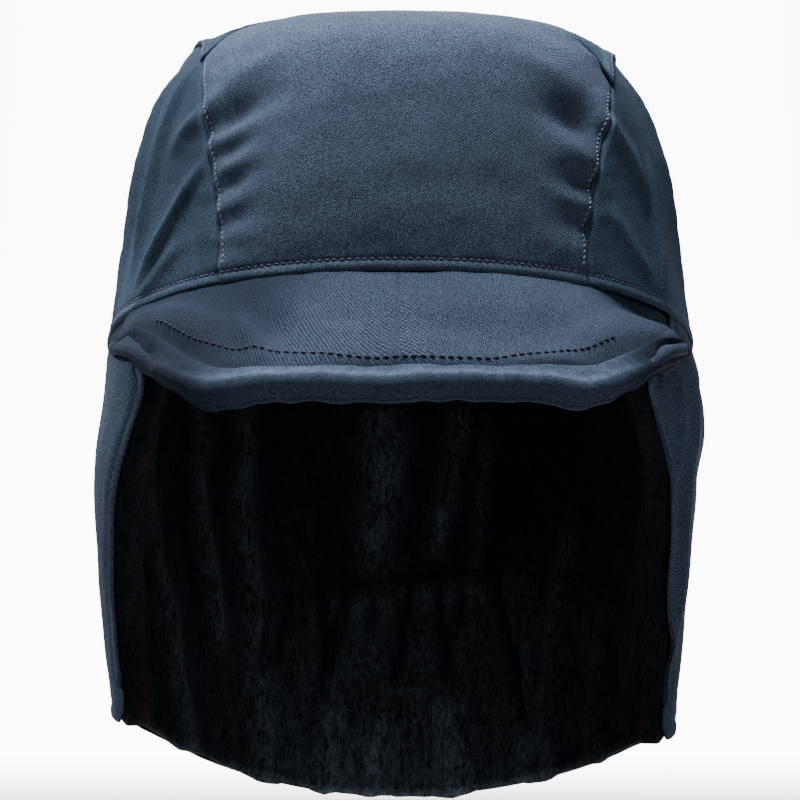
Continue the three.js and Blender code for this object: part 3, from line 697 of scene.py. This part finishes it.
STITCH_SHAPE = np.array([0.0, 0.12, 0.3, 0.5, 0.7, 0.88, 1.0])
STITCH_RISE = np.array([-0.32, -0.02, 0.14, 0.18, 0.14, -0.02, -0.32])
STITCH_RADIUS = np.array([0.13, 0.2, 0.24, 0.25, 0.24, 0.2, 0.13])


def along_line(at, length, values):
    return np.stack([np.interp(at, length, values[:, k]) for k in range(3)], axis=-1)


def stitches(name, paths, pitch, material, share=0.74, slant=0.12, scale=1.0):
    """Rows of stitches. A path is a fine line of points on the cloth, with the cloth's normals there."""
    lines = []
    rng = np.random.default_rng(7)
    for points, normals in paths:
        length = running(points, 0)
        for i in range(int(length[-1] / pitch)):
            start = (i + 0.5 * (1 - share)) * pitch + rng.uniform(-0.05, 0.05) * pitch
            at = start + STITCH_SHAPE * share * pitch
            place = along_line(at, length, points)
            out = unit(along_line(at, length, normals))
            side = unit(np.cross(place[-1] - place[0], out[3]))
            lean = (STITCH_SHAPE - 0.5)[:, None] * side * (slant + rng.uniform(-0.08, 0.08)) * 2
            lines.append(place + out * (STITCH_RISE * scale)[:, None] + lean)
    return tubes(name, lines, STITCH_RADIUS * scale, material)


def on_cloth(form, a, b, step_a, step_b):
    """Places on a form, and the cloth's normals there."""
    place = form(a, b)
    return place, unit(np.cross(form(a + step_a, b) - place, form(a, b + step_b) - place))


def on_crown(turn, climb, panel):
    lift = shell_lift(turn, climb, panel)
    return on_cloth(lambda a, b: crown(a, b, lift), turn, climb, 0.2, 0.002)


# Materials.
class Surface:
    """A material's node tree, built by short calls."""

    def __init__(self, name):
        self.material = bpy.data.materials.new(name)
        self.material.use_nodes = True
        self.tree = self.material.node_tree
        self.shader = self.tree.nodes["Principled BSDF"]

    def feed(self, value, socket):
        if isinstance(value, bpy.types.NodeSocket):
            self.tree.links.new(value, socket)
        else:
            socket.default_value = value

    def node(self, kind, inputs=(), **settings):
        """A node with some inputs fed; inputs are pairs of a socket's name or number and its value."""
        made = self.tree.nodes.new("ShaderNode" + kind)
        for key, value in settings.items():
            setattr(made, key, value)
        for key, value in inputs:
            self.feed(value, made.inputs[key])
        return made.outputs

    def finish(self, **inputs):
        """Feeds the shader's own sockets, whose names are given in lower case."""
        for key, value in inputs.items():
            self.feed(value, self.shader.inputs[key.replace("_", " ").title().replace("Ior", "IOR")])
        return self.material

    def math(self, operation, *values):
        return self.node("Math", enumerate(values), operation=operation)[0]

    def plus(self, a, b):
        return self.math("ADD", a, b)

    def times(self, a, b):
        return self.math("MULTIPLY", a, b)

    def wave(self, phase):
        return self.range(self.math("SINE", phase), -1, 1)

    def split(self, vector):
        return self.node("SeparateXYZ", [(0, vector)])

    def painted(self, name):
        return self.node("Attribute", attribute_name=name)["Fac"]

    def noise(self, scale, detail=2.0, stretch=(1, 1, 1), rough=0.5):
        place = self.node("TexCoord")["Object"]
        place = self.node("Mapping", [("Vector", place), ("Scale", stretch)])[0]
        inputs = ("Vector", place), ("Scale", scale), ("Detail", detail), ("Roughness", rough)
        return self.node("TexNoise", inputs)["Fac"]

    def range(self, value, low, high, to_low=0.0, to_high=1.0):
        names = "Value", "From Min", "From Max", "To Min", "To Max"
        return self.node("MapRange", zip(names, (value, low, high, to_low, to_high)))[0]

    def blend(self, share, a, b):
        outputs = self.node("Mix", [("Factor", share), (6, a), (7, b)], data_type="RGBA")
        return [s for s in outputs if s.type == "RGBA"][0]

    def bump(self, height, distance, strength=1.0):
        return self.node("Bump", [("Height", height), ("Distance", distance), ("Strength", strength)])[0]


def rgb(r, g, b):
    return (r, g, b, 1.0)


TWILL_PERIOD, YARN_PERIOD = 0.0007, 0.00092  # metres from rib to rib, and from yarn to yarn along it


def twill(name, dark, light, worn, period=TWILL_PERIOD, furrow=0.2):
    """Cotton twill: diagonal ribs rising to the right, with yarn segments, lint and slow mottling, and
    painted shade from a painted attribute.
    """
    s = Surface(name)
    u, v, _ = s.split(s.node("UVMap", uv_map="cloth")[0])
    wander = s.times(s.math("SUBTRACT", s.noise(190, 4, rough=0.8), 0.5), 0.0012)
    phase = s.plus(s.math("SUBTRACT", u, v), wander)
    rib = s.wave(s.times(phase, 2 * math.pi / (period * math.sqrt(2))))
    yarn = s.wave(s.times(s.plus(s.times(u, 2.0), v), 2 * math.pi / YARN_PERIOD))
    height = s.times(s.range(rib, 0, 1, furrow, 1.0), s.range(yarn, 0, 1, 0.45, 1.0))
    height = s.plus(height, s.range(s.noise(1700, 3, rough=0.7), 0.3, 0.7, -0.45, 0.45))
    mottle = s.range(s.noise(26, 4, rough=0.6), 0.3, 0.7, 0.86, 1.12)
    share = s.times(s.range(height, 0.0, 1.15), mottle)
    colour = s.blend(s.range(share, 0, 1), dark, light)
    rub = s.times(s.painted("wear"), s.range(s.noise(420, 3, rough=0.7), 0.35, 0.65, 0.35, 1.0))
    colour = s.blend(rub, colour, worn)
    # Painted shade: a painted attribute darkens the cloth towards its dark colour.
    colour = s.blend(s.painted("nap"), colour, dark)
    lint = s.range(s.noise(1150, 2, rough=0.4), 0.74, 0.8, 0.0, 0.5)
    slubs = s.bump(s.noise(300, 3), 0.00025, 0.12)
    ribs = s.bump(height, 0.00026, 0.85)
    s.feed(slubs, ribs.node.inputs["Normal"])
    return s.finish(
        base_color=s.blend(lint, colour, worn), roughness=s.range(height, 0, 1, 0.98, 0.86),
        specular_ior_level=0.01, sheen_weight=0.004, sheen_roughness=0.45, sheen_tint=rgb(0.62, 0.74, 0.9),
        normal=ribs)


def fleece(name, deep, tip, edge):
    """Short dense pile: dark roots, faintly lustrous tips and clumps, with painted light and shade on the
    tips.
    """
    s = Surface(name)
    tuft = s.noise(850, 3, stretch=(1, 1, 0.4), rough=0.7)
    clump = s.noise(250, 3, stretch=(1, 1, 0.4), rough=0.6)
    height = s.plus(s.times(tuft, 0.7), s.times(clump, 0.35))
    height = s.plus(height, s.times(s.noise(2100, 2, rough=0.6), 0.35))
    share = s.range(height, 0.56, 0.9)
    # Painted light and shade: a painted attribute brightens or dims the tips.
    colour = s.blend(s.times(share, s.range(s.painted("nap"), 0, 1, 0.12, 1.0)), deep, tip)
    return s.finish(
        base_color=s.blend(s.painted("wear"), colour, s.blend(share, deep, edge)), roughness=0.95,
        specular_ior_level=0.04, sheen_weight=0.06, sheen_roughness=0.35, sheen_tint=rgb(0.45, 0.6, 0.75),
        normal=s.bump(height, 0.0016, 0.9))


def thread(name, colour, light):
    s = Surface(name)
    twist = s.noise(2600, 2, rough=0.7)
    return s.finish(
        base_color=s.blend(s.range(twist, 0.35, 0.65), colour, light), roughness=0.85,
        specular_ior_level=0.05, sheen_weight=0.02, normal=s.bump(twist, 0.0001, 0.6))


NAVY = twill("twill_navy", rgb(0.0088, 0.0122, 0.0202), rgb(0.073, 0.102, 0.152), rgb(0.115, 0.153, 0.212))
# A darker copy of the navy twill, for the side and top panels: painted shade.
NAVY_SHADED = twill(
    "twill_navy_side", rgb(0.0064, 0.0105, 0.0182), rgb(0.053, 0.081, 0.122), rgb(0.090, 0.124, 0.175))
# The peak's twill: finer, flatter ribs than the crown's, and darker colours, which are painted shade.
NAVY_PEAK_SHADED = twill(
    "twill_navy_peak", rgb(0.0056, 0.0082, 0.0146), rgb(0.051, 0.070, 0.107), rgb(0.100, 0.139, 0.205),
    period=0.0006, furrow=0.36)
PILE_DARK = fleece(
    "pile_dark", rgb(0.0012, 0.0016, 0.002), rgb(0.058, 0.075, 0.096), rgb(0.026, 0.018, 0.025))
# A lighter copy of the pile, for the fibres: painted glints.
PILE_TIPS_LIT = fleece(
    "pile_tips", rgb(0.003, 0.004, 0.0055), rgb(0.115, 0.147, 0.185), rgb(0.060, 0.041, 0.057))
PALE_THREAD = thread("thread_pale", rgb(0.062, 0.068, 0.125), rgb(0.200, 0.215, 0.340))
PLUM_THREAD = thread("thread_plum", rgb(0.024, 0.023, 0.050), rgb(0.092, 0.086, 0.165))
DARK_THREAD = thread("thread_dark", rgb(0.005, 0.0045, 0.012), rgb(0.020, 0.017, 0.040))


# The crown's panels.
WELT_TOP = 0.04  # share of the climb that the lower edge's finer rows cover


def climbs(top, welt_rows, rows):
    """Climbs of a panel's rows: fine in the turned lower edge, then even and finer at the top."""
    low = np.linspace(0, WELT_TOP, welt_rows + 1)
    t = np.linspace(0, 1, rows + 1)[1:]
    t = 1 - (1 - t) ** 1.35
    t = t * (1 - 0.35) + 0.35 * np.sin(t * math.pi / 2)
    return np.concatenate([
        np.repeat(low[:, None], len(top), axis=1),
        WELT_TOP + (top - WELT_TOP)[None] * t[:, None]])


def wear_of(height, to_seam):
    """How rubbed the cloth is: along the lower edge's roll and beside the seams."""
    roll = 0.2 * bell((height - 1.9) / 1.0)
    beside = 0.1 * bell((to_seam - 1.0) / 0.9)
    return np.clip(roll + beside, 0, 1)


def shell_panel(name, turn, climb, panel, node, **shape):
    lift = shell_lift(turn, climb, panel)
    to_seam = np.abs(seam_turn(np.sign(turn), climb) - np.abs(turn)) * TURN_LENGTH
    wear = wear_of(climb * CLIMB_LENGTH, to_seam if panel != "top" else 9 + 0 * turn)
    nap = 0 * turn
    # Painted shade on the side and top panels: darker from a tenth of the way up, fading out between 56 and
    # 84 degrees from the front, twice as dark on the wearer's right.
    if panel != "front":
        nap = 0.4 * ease(0.1, 0.34, climb) * (1 - ease(56, 84, np.abs(turn))) * np.where(turn < 0, 1, 0.5)
    outer, inner = crown(turn, climb, lift), crown(turn, climb, lift - CLOTH)
    # The side and top panels take the darker copy of the twill: painted shade.
    material = NAVY if panel == "front" else NAVY_SHADED
    piece = wall(name, outer, inner, material, wear=(wear, 0 * wear), nap=(nap, nap), **shape)
    return dressed(piece, "shell_twill", node)


def front_panel():
    share = np.sin((np.linspace(0, 1, 131) - 0.5) * math.pi)
    side = np.where(share < 0, -1, 1)
    top = top_seam(share * seam(side, 1)) - SEAM_CLIMB
    climb = climbs(top, 16, 104)
    row = climb / top
    turn = side * np.abs(share) * (seam_turn(side, row * seam(side, 2)) - SEAM_TURN)
    return shell_panel("front_panel", turn, climb, "front", "crown_front_panel")


def side_panel(side, name):
    u = graded(118, 0.55)
    top = top_seam(side * mix(seam(side, 1), 180, u)) + TUCK_CLIMB
    climb = climbs(top, 16, 96)
    turn = mix(seam_turn(side, climb / top * seam(side, 2)) - TUCK_TURN, 180 - SEAM_TURN, u)
    if side < 0:
        turn, climb = turn[:, ::-1], climb[:, ::-1]
    return shell_panel(name, side * turn, climb, "side", "crown_" + name)


def top_panel():
    turn = np.linspace(-180, 180, 241)[:-1]
    t = np.linspace(0, 1, 64)
    climb = mix((top_seam(turn) + SEAM_CLIMB)[None], 1, (t ** 1.5)[:, None])
    turn = np.repeat(turn[None], len(t), axis=0)
    flat = crown_form(turn, climb)[..., :2]
    return shell_panel("top_panel", turn, climb, "top", "crown_top_panel", closed=True, apex=True, uv=flat)


front = front_panel()
side_left = side_panel(1, "side_panel_left")
side_right = side_panel(-1, "side_panel_right")
top = top_panel()


def crown_lining():
    turn = np.linspace(-180, 180, 161)[:-1]
    turn, climb = np.meshgrid(turn, np.linspace(0, 1, 92) ** 1.1)
    smooth = crown_form(turn, climb)
    fuzz = 0.35 * grain(smooth, 2.8, 41) + 0.45 * grain(smooth, 6, 42) + 0.5 * ripple(smooth, 30, 43)
    outer = crown(turn, climb, np.full_like(turn, -5.2))
    inner = crown(turn, climb, -(CLOTH + LINING_GAP + PILE) - 0.4 + fuzz * np.clip(climb * 12, 0, 1))
    # The lining's pile takes one even value of the painted light and shade.
    nap = np.full_like(turn, 0.3)
    piece = wall("crown_fleece", outer, inner, PILE_DARK, nap=(nap, nap), closed=True, apex=True)
    return dressed(piece, "pile", "crown_lining_left", "crown_lining_right", "crown_lining_top")


lining = crown_lining()


# The flap.
def flap_grid(columns, rows):
    """Spreads and downs of the flap's rows, from its hem upwards."""
    return np.meshgrid((1 - 2 * graded(columns, 0.78))[::-1], 1 - graded(rows, 0.6))


def flap_shell():
    spread, down = flap_grid(250, 104)
    outer = flap(spread, down, shell_flap_lift)
    inner = flap(spread, down, lambda *at: shell_flap_lift(*at) - CLOTH)
    wear = 0.3 * bell(((1 - np.abs(spread)) * FLAP_HALF) / 2) + 0.2 * bell((1 - down) * FLAP_DROP / 2)
    return dressed(wall("flap_twill", outer, inner, NAVY, wear=(wear, 0 * wear)), "flap_twill", "flap_shell")


def painted_light_on_flap(spread, down):
    """The pile's painted light and shade, at a place on the flap's inside."""
    found = []
    flap(spread, down, lambda turn, height, *at: found.append(pile_painted_light(turn, height)) or 0 * turn)
    return found[0]


def flap_fleece():
    spread, down = flap_grid(250, 112)
    spread, down = spread * PILE_SPREAD, down * PILE_DOWN
    outer = flap(spread, down, lambda *at: np.full_like(at[0], -(CLOTH + 0.2)))
    inner = flap(spread, down, pile_inner_lift)
    strip = 1 - ease(8, 14, (1 - np.abs(spread)) * FLAP_HALF)
    # Painted light and shade on the pile, over its folds and puckers.
    nap = painted_light_on_flap(spread, down)
    piece = wall("flap_fleece", outer, inner, PILE_DARK, wear=(0 * strip, strip), nap=(nap, nap))
    return dressed(piece, "pile", "flap_lining_left", "flap_lining_right")


flap_cloth = flap_shell()
flap_pile = flap_fleece()

INNER_FIBRES, EDGE_FIBRES, HEM_FIBRES = 29000, 8000, 4000


def pile_fibres():
    """Fibres standing out of the flap's pile: slim closed spikes, leaning down and forward."""
    rng = np.random.default_rng(61)
    n = INNER_FIBRES + EDGE_FIBRES + HEM_FIBRES
    side = rng.choice([-1.0, 1.0], EDGE_FIBRES)
    spread = np.concatenate([
        rng.uniform(-0.985, 0.985, INNER_FIBRES),
        side * (1 - 0.06 * rng.uniform(0.005, 1, EDGE_FIBRES) ** 1.3),
        rng.uniform(-0.99, 0.99, HEM_FIBRES)])
    down = np.concatenate([
        rng.uniform(0.02, 0.995, INNER_FIBRES), rng.uniform(0.04, 0.995, EDGE_FIBRES),
        1 - 0.03 * rng.uniform(0.01, 1, HEM_FIBRES)])
    spread, down = spread * PILE_SPREAD, down * PILE_DOWN
    place = flap(spread, down, pile_inner_lift)
    along = unit(flap(spread + 0.003, down, pile_inner_lift) - place)
    low = unit(flap(spread, down + 0.004, pile_inner_lift) - place)
    inward = np.cross(along, low)
    inward = unit(inward * -np.sign(np.sum(inward[:, :2] * place[:, :2], axis=1))[:, None])
    to_edge = 1 - np.abs(spread)
    forward = np.sign(spread)[:, None] * along * ease(0.05, 0.0, to_edge)[:, None]
    way = unit(inward * 0.75 + low * 0.45 + forward * 0.5 + rng.normal(0, 0.28, (n, 3)))
    length = rng.uniform(0.7, 1.5, n)
    width = rng.uniform(0.12, 0.2, n)
    side_way = unit(np.cross(way, low))
    other = np.cross(way, side_way)
    points = [place + way * length[:, None]]
    for k in range(3):
        turn = 2 * math.pi * k / 3
        spoke = side_way * math.cos(turn) + other * math.sin(turn)
        points.append(place - way * 0.5 + width[:, None] * spoke)
    spike = np.array([[0, 1, 2], [0, 2, 3], [0, 3, 1], [3, 2, 1]])
    faces = ((np.arange(n) * 4)[:, None, None] + spike[None]).reshape(-1, 3)
    wear = np.repeat(ease(0.06, 0.045, to_edge), 4)
    # Each fibre takes the painted light and shade of the pile below it.
    nap = np.repeat(painted_light_on_flap(spread, down), 4)
    points = np.stack(points, axis=1).reshape(-1, 3)
    dressed(mesh_object("flap_fibres", points, faces.tolist(), PILE_TIPS_LIT, wear=wear, nap=nap), "pile")


pile_fibres()


# The peak and its rolled edge.
def peak():
    share, v = np.meshgrid(np.linspace(-1, 1, 221), np.linspace(0, 1, 56))
    # Painted shade: darker towards the wearer's right end, a little towards the left end, and in a band just
    # inside the rolled edge.
    nap = 0.8 * ease(-0.05, -0.42, share) + 0.3 * ease(0.4, 0.8, share)
    nap = np.maximum(nap, 0.85 * bell((v - LIP_INSIDE(share) + 0.035) / 0.035))
    uv = np.stack([share * PEAK_HALF * 1.1, v * 27], axis=-1)
    under, upper = peak_surface(share, v, True), peak_surface(share, v, False)
    return dressed(wall("peak_cloth", under, upper, NAVY_PEAK_SHADED, uv, nap=(nap, nap)), "peak_twill", "peak")


peak_piece = peak()


# The rolled edge's section, as places round it: share of the way from its start to the edge, distance out
# from the edge, rise over the peak there, and the share of its drop.
LIP_SECTION = np.array([
    (0.0, 0.0, -0.8, 0.0), (0.12, 0.0, 1.5, 0.0), (0.5, 0.0, 2.7, 0.0), (1.0, 0.4, 2.4, 0.0),
    (1.0, 2.3, 1.3, 0.0), (1.0, 3.2, -0.6, 0.1), (1.0, 2.9, 0.0, 0.4), (1.0, 2.1, 0.0, 0.68),
    (1.0, 1.4, 0.0, 0.84), (1.0, 0.9, 0.0, 0.99), (1.0, -0.3, 0.0, 0.93), (1.0, -0.9, -1.0, 0.55),
    (0.9, 0.0, -3.6, 0.0), (0.4, 0.0, -3.4, 0.0), (0.0, 0.0, -2.6, 0.0),
])
# More rise at the ends, for each row of the section.
LIP_ENDS = [0, 1.0, -0.4, -4.2, -4.8, -4.4, -2.4, -1.4, -0.5] + 6 * [0]
LIP_RAISED = (1, 2)  # rows that keep their height there while the roll stands up


def closed_spline(points, count):
    """A smooth closed ring of count places for each row of control points, on a uniform cubic spline."""
    n = points.shape[1]
    at = np.arange(count) / count * n
    i = np.floor(at).astype(int)
    t = (at - i)[None, :, None]
    p = [points[:, (i + k) % n] for k in (-1, 0, 1, 2)]
    ring = 0.5 * (2 * p[1] + (p[2] - p[0]) * t + (2 * p[0] - 5 * p[1] + 4 * p[2] - p[3]) * t ** 2
                  + (3 * p[1] - p[0] - 3 * p[2] + p[3]) * t ** 3)
    soft = (p[0] * (1 - t) ** 3 + p[1] * (3 * t ** 3 - 6 * t ** 2 + 4)
            + p[2] * (-3 * t ** 3 + 3 * t ** 2 + 3 * t + 1) + p[3] * t ** 3) / 6
    return mix(ring, soft, 0.6)


LIP_SIDES = 60  # places round the rolled edge's section
LIP_ROUND = np.arange(LIP_SIDES) / LIP_SIDES * len(LIP_SECTION)
LIP_FRONT, LIP_HEM = 20, 8.0  # a place that faces out, and the row of the section that is stitched


def lip_grid(share):
    away = np.abs(share)
    step = peak_edge(share + 0.01) - peak_edge(share - 0.01)
    out = unit(np.stack([step[:, 1], -step[:, 0], 0 * share], axis=-1))
    drop = LIP_BELOW(share) + 0.25 * ripple(peak_edge(share), 11, 52)
    full = 1 - 0.2 * ease(0.85, 1.0, away)
    ends = ease(0.42, 0.8, away) * (1 - 0.7 * ease(0.84, 0.95, away))
    rings = []
    for k, (along, outward, rise, fall) in enumerate(LIP_SECTION):
        rise = rise + LIP_ENDS[k] * ends
        at = mix(LIP_INSIDE(share), 1, along) - (0.03 * ends if k == 1 else 0)
        place = peak_surface(share, mix(at, 1, 0.78 * ends), False)
        if k in LIP_RAISED:
            place[:, 2] = peak_surface(share, at, False)[:, 2]
        place = place + out * (outward * (1 - 0.75 * ends) - 2.2 * ends)[:, None]
        place[:, 2] += rise * full - fall * drop
        rings.append(place)
    grid = closed_spline(np.stack(rings, axis=1), LIP_SIDES)
    middle = grid.mean(axis=1, keepdims=True)
    past = np.clip((away - 0.955) / 0.04, 0, 1)
    grid = middle + (grid - middle) * np.sqrt(np.maximum(1 - past ** 2, 0.02))[:, None, None]
    normal = unit(np.cross(np.gradient(grid, axis=0), np.roll(grid, -1, axis=1) - np.roll(grid, 1, axis=1)))
    half = len(share) // 2
    if normal[half, LIP_FRONT] @ out[half] < 0:
        normal = -normal
    wrinkled = 1 + 1.3 * bell((share - 0.52) / 0.16) + 0.6 * bell((share + 0.62) / 0.2)
    wrinkled = wrinkled * (1 - ease(0.88, 0.96, away))
    crease = wrinkled[:, None] * (0.14 * ripple(grid, 14, 53) + 0.09 * ripple(grid, 5.5, 54))
    crease = crease - (0.4 * bell((LIP_ROUND - LIP_HEM) / 0.35))[None]
    return grid + normal * crease[..., None], normal


def lip():
    share = np.linspace(-0.995, 0.995, 361)
    grid, _ = lip_grid(share)
    stations, sides = grid.shape[:2]
    faces = tube_faces(stations, sides)
    along = running(grid[:, 12], 0)
    ring = np.linalg.norm(grid[180] - np.roll(grid[180], 1, axis=0), axis=-1)
    girth = np.concatenate([np.cumsum(ring) - ring[0], [np.sum(ring)]])
    station, place = np.divmod(faces, sides)
    place = np.where((place == 0) & (np.arange(4) % 3 != 0), sides, place)
    uv = np.stack([along[station], -girth[place]], axis=-1).reshape(-1, 2)
    uv = np.concatenate([uv, np.zeros((2 * sides, 2))])
    ends = [list(range(sides - 1, -1, -1)), list(range((stations - 1) * sides, stations * sides))]
    faces = faces.tolist() + ends
    wear = 0.42 * bell((LIP_ROUND - 3.4) / 1.2) + 0.25 * bell((LIP_ROUND - 9.0) / 0.4)
    wear = wear[None] * (1 - 0.85 * ease(0.4, 0.65, np.abs(share)))[:, None]
    # Painted shade: the rolled edge darkens towards both ends.
    nap = 0.9 * ease(-0.2, -0.46, share) + 0.88 * ease(0.36, 0.6, share)
    nap = np.repeat(nap[:, None], sides, axis=1)
    piece = mesh_object("peak_lip", grid.reshape(-1, 3), faces, NAVY_PEAK_SHADED, uv, wear=wear, nap=nap)
    return dressed(piece, "peak_twill", "peak_binding")


lip_piece = lip()


# Stitches.
def at_seam(side, low, high):
    climb = np.linspace(low, high, 400)
    turn = seam_turn(side, climb)
    turn = turn - SEAM_STITCH / degree_length(side * turn, climb)
    return on_crown(side * turn, climb, "front")


def rim_line(turn_from, turn_to, panel, count=1800):
    turn = np.linspace(turn_from, turn_to, count)
    return on_crown(turn, np.full(count, RIM_STITCH / CLIMB_LENGTH), panel)


def top_line(turn_from, turn_to):
    turn = np.linspace(turn_from, turn_to, 1200)
    return on_crown(turn, top_seam(turn) + TOP_STITCH / CLIMB_LENGTH, "top")


def facing(normal, way):
    """The normals, turned to the side of way."""
    return normal * np.sign(np.sum(normal * way, axis=1))[:, None]


def on_peak(share, v):
    place, normal = on_cloth(lambda a, b: peak_surface(a, b, False), share, v, 0.003, 0.006)
    return place, facing(normal, np.array([0, 0, 1]))


# The stitches across the peak: share, distance out.
PEAK_ROW = np.array([
    (-0.66, 0.6), (-0.613, 0.61), (-0.516, 0.655), (-0.386, 0.70), (-0.292, 0.755), (-0.112, 0.82),
    (0, 0.845), (0.118, 0.843), (0.232, 0.80), (0.369, 0.73), (0.46, 0.70), (0.53, 0.69),
])
PEAK_STITCH = curve(PEAK_ROW)


def flap_line(side):
    """A line beside one front edge of the flap, on its outside."""
    down = np.linspace(0.06, 0.985, 500)
    spread = -side * np.ones(len(down))
    for _ in range(4):
        height = flap(spread, down, lambda *at: 0 * at[0])[:, 2]
        spread = -side * (1 - EDGE_STITCH / TURN_LENGTH / (180 - edge_turn(side > 0, height)))
    return on_flap(spread, down)


def on_flap(spread, down):
    place, normal = on_cloth(lambda a, b: flap(a, b, shell_flap_lift), spread, down, 0.002, -0.004)
    return place, facing(normal, place * np.array([1, 1, 0]))


def hem_line():
    spread = np.linspace(-0.955, 0.955, 1400)
    return on_flap(spread, np.full(len(spread), 1 - HEM_STITCH / FLAP_DROP))


def on_lip(place):
    grid, normal = lip_grid(np.linspace(-0.86, 0.9, 900))
    return grid[:, place], normal[:, place]


def all_stitches():
    seams = [at_seam(-1, 0.034, 0.485), at_seam(1, 0.034, 0.415)]
    left, right = SEAM_LEFT[0] + 0.6, SEAM_RIGHT[0] + 0.6
    rim = [rim_line(1 - right, left - 1, "front", 900)]
    rim += [rim_line(left, 179, "side"), rim_line(-179, -right, "side")]
    top = [top_line(50, 179.8), top_line(-179.8, -50)]
    across, inside = np.linspace(-0.66, 0.53, 900), np.linspace(-0.6, 0.6, 900)
    peak_rows = [on_peak(across, PEAK_STITCH(across)), on_peak(inside, LIP_INSIDE(inside) - 0.012)]
    hem = [on_lip(int(LIP_HEM / len(LIP_SECTION) * LIP_SIDES))]
    edges = [flap_line(1), flap_line(-1), hem_line()]
    rows = (
        ("seam_stitches", seams, 1.95, PALE_THREAD, "shell_twill", {"share": 0.56, "slant": 0.24}),
        ("rim_stitches", rim, 2.3, PLUM_THREAD, "shell_twill", {}),
        ("top_stitches", top, 2.3, PLUM_THREAD, "shell_twill", {}),
        ("peak_stitches", peak_rows, 2.7, DARK_THREAD, "peak_twill", {"scale": 1.3}),
        ("lip_stitches", hem, 2.6, DARK_THREAD, "peak_twill", {"scale": 0.9}),
        ("flap_stitches", edges, 2.7, PLUM_THREAD, "flap_twill", {}))
    for name, paths, pitch, material, slot, shape in rows:
        dressed(stitches(name, paths, pitch, material, **shape), slot)


all_stitches()


# Studio.
PAPER = 0.15
GLOW_LOW, GLOW_HIGH = 0.05, 11.0  # the paper's own light, round the cap and behind it
SKY = 0.04
FLOOR_Z = -0.2535
LAMPS = [
    ("key", (-0.18, 0.05, 1.5), (0, 0, -0.06), 0.6, 124),
    ("crest", (-0.2, 0.8, 1.2), (0, 0, -0.03), 0.5, 90),
    ("left", (-1.2, 0.5, 0.5), (0, 0, -0.1), 0.5, 20),
    ("right", (0.5, -1.1, -0.08), (-0.02, 0.08, -0.19), 0.3, 3.0),
]


def sweep():
    """A pale floor that rises far away and glows behind the cap."""
    rings = [(0.4, 0.0), (0.8, 0.0), (1.2, 0.0), (1.8, 0.0), (2.6, 0.0), (3.4, 0.0)]
    rings += [(3.4 + math.sin(a), 1 - math.cos(a)) for a in np.linspace(0.08, math.pi / 2, 16)] + [(4.4, 3.2)]
    turns = 96
    vertices = [(0, 0, FLOOR_Z)]
    for r, z in rings:
        for a in np.arange(turns) * 2 * math.pi / turns:
            vertices.append((r * math.sin(a), r * math.cos(a), FLOOR_Z + z))
    faces = [[0, 1 + (k + 1) % turns, 1 + k] for k in range(turns)]
    faces += (1 + tube_faces(len(rings), turns)).tolist()
    mesh = bpy.data.meshes.new("sweep")
    mesh.from_pydata(vertices, [], faces)
    s = Surface("paper")
    across, depth, _ = s.split(s.node("TexCoord")["Object"])
    beside = s.range(s.math("ABSOLUTE", across), 0.5, 0.8, 1.0, 0.0)
    glow = s.times(s.range(depth, 0.06, 0.3), beside)
    s.finish(
        base_color=rgb(PAPER, PAPER, PAPER), roughness=0.9, specular_ior_level=0.1,
        emission_color=rgb(1, 1, 1), emission_strength=s.range(glow, 0, 1, GLOW_LOW, GLOW_HIGH))
    placed(mesh, s.material)


def studio():
    scene = bpy.context.scene
    camera = bpy.data.objects.new("camera", bpy.data.cameras.new("camera"))
    camera.data.lens, camera.data.sensor_width = LENS, 36
    camera.location = (0, CAMERA_Y, CAMERA_Z)
    camera.rotation_euler = (math.pi / 2, 0, 0)
    scene.collection.objects.link(camera)
    scene.camera = camera
    world = bpy.data.worlds.new("soft_sky")
    world.use_nodes = True
    sky = world.node_tree.nodes["Background"].inputs
    sky["Color"].default_value = rgb(0.9, 0.95, 1.0)
    sky["Strength"].default_value = SKY
    scene.world = world
    for name, place, target, size, power in LAMPS:
        light = bpy.data.lights.new(name, "AREA")
        light.shape, light.size, light.energy = "DISK", size, power
        lamp = bpy.data.objects.new(name, light)
        lamp.location = place
        lamp.rotation_euler = (Vector(target) - Vector(place)).to_track_quat("-Z", "Y").to_euler()
        scene.collection.objects.link(lamp)


sweep()
studio()


# What each sheet was cut to, in metres, and its flat area.
SHEETS = [
    (front, (0.157, 0.130), 0.0158, "draped", [lining], ["seam_stitches"]),
    (side_left, (0.257, 0.102), 0.0221, "draped", [lining], ["rim_stitches"]),
    (side_right, (0.259, 0.107), 0.0229, "draped", [lining], []),
    (top, (0.126, 0.172), 0.0169, "draped", [lining], ["top_stitches"]),
    (lining, (0.560, 0.170), 0.0715, "draped", [], []),
    (flap_cloth, (0.453, 0.155), 0.0504, "hung", [side_left, side_right], ["flap_stitches"]),
    (flap_pile, (0.445, 0.152), 0.0485, "hung", [lining, flap_cloth], ["flap_fibres"]),
]
for piece, flat, area, held, under, sewn_on in SHEETS:
    sewn_on = [bpy.data.objects[name] for name in sewn_on]
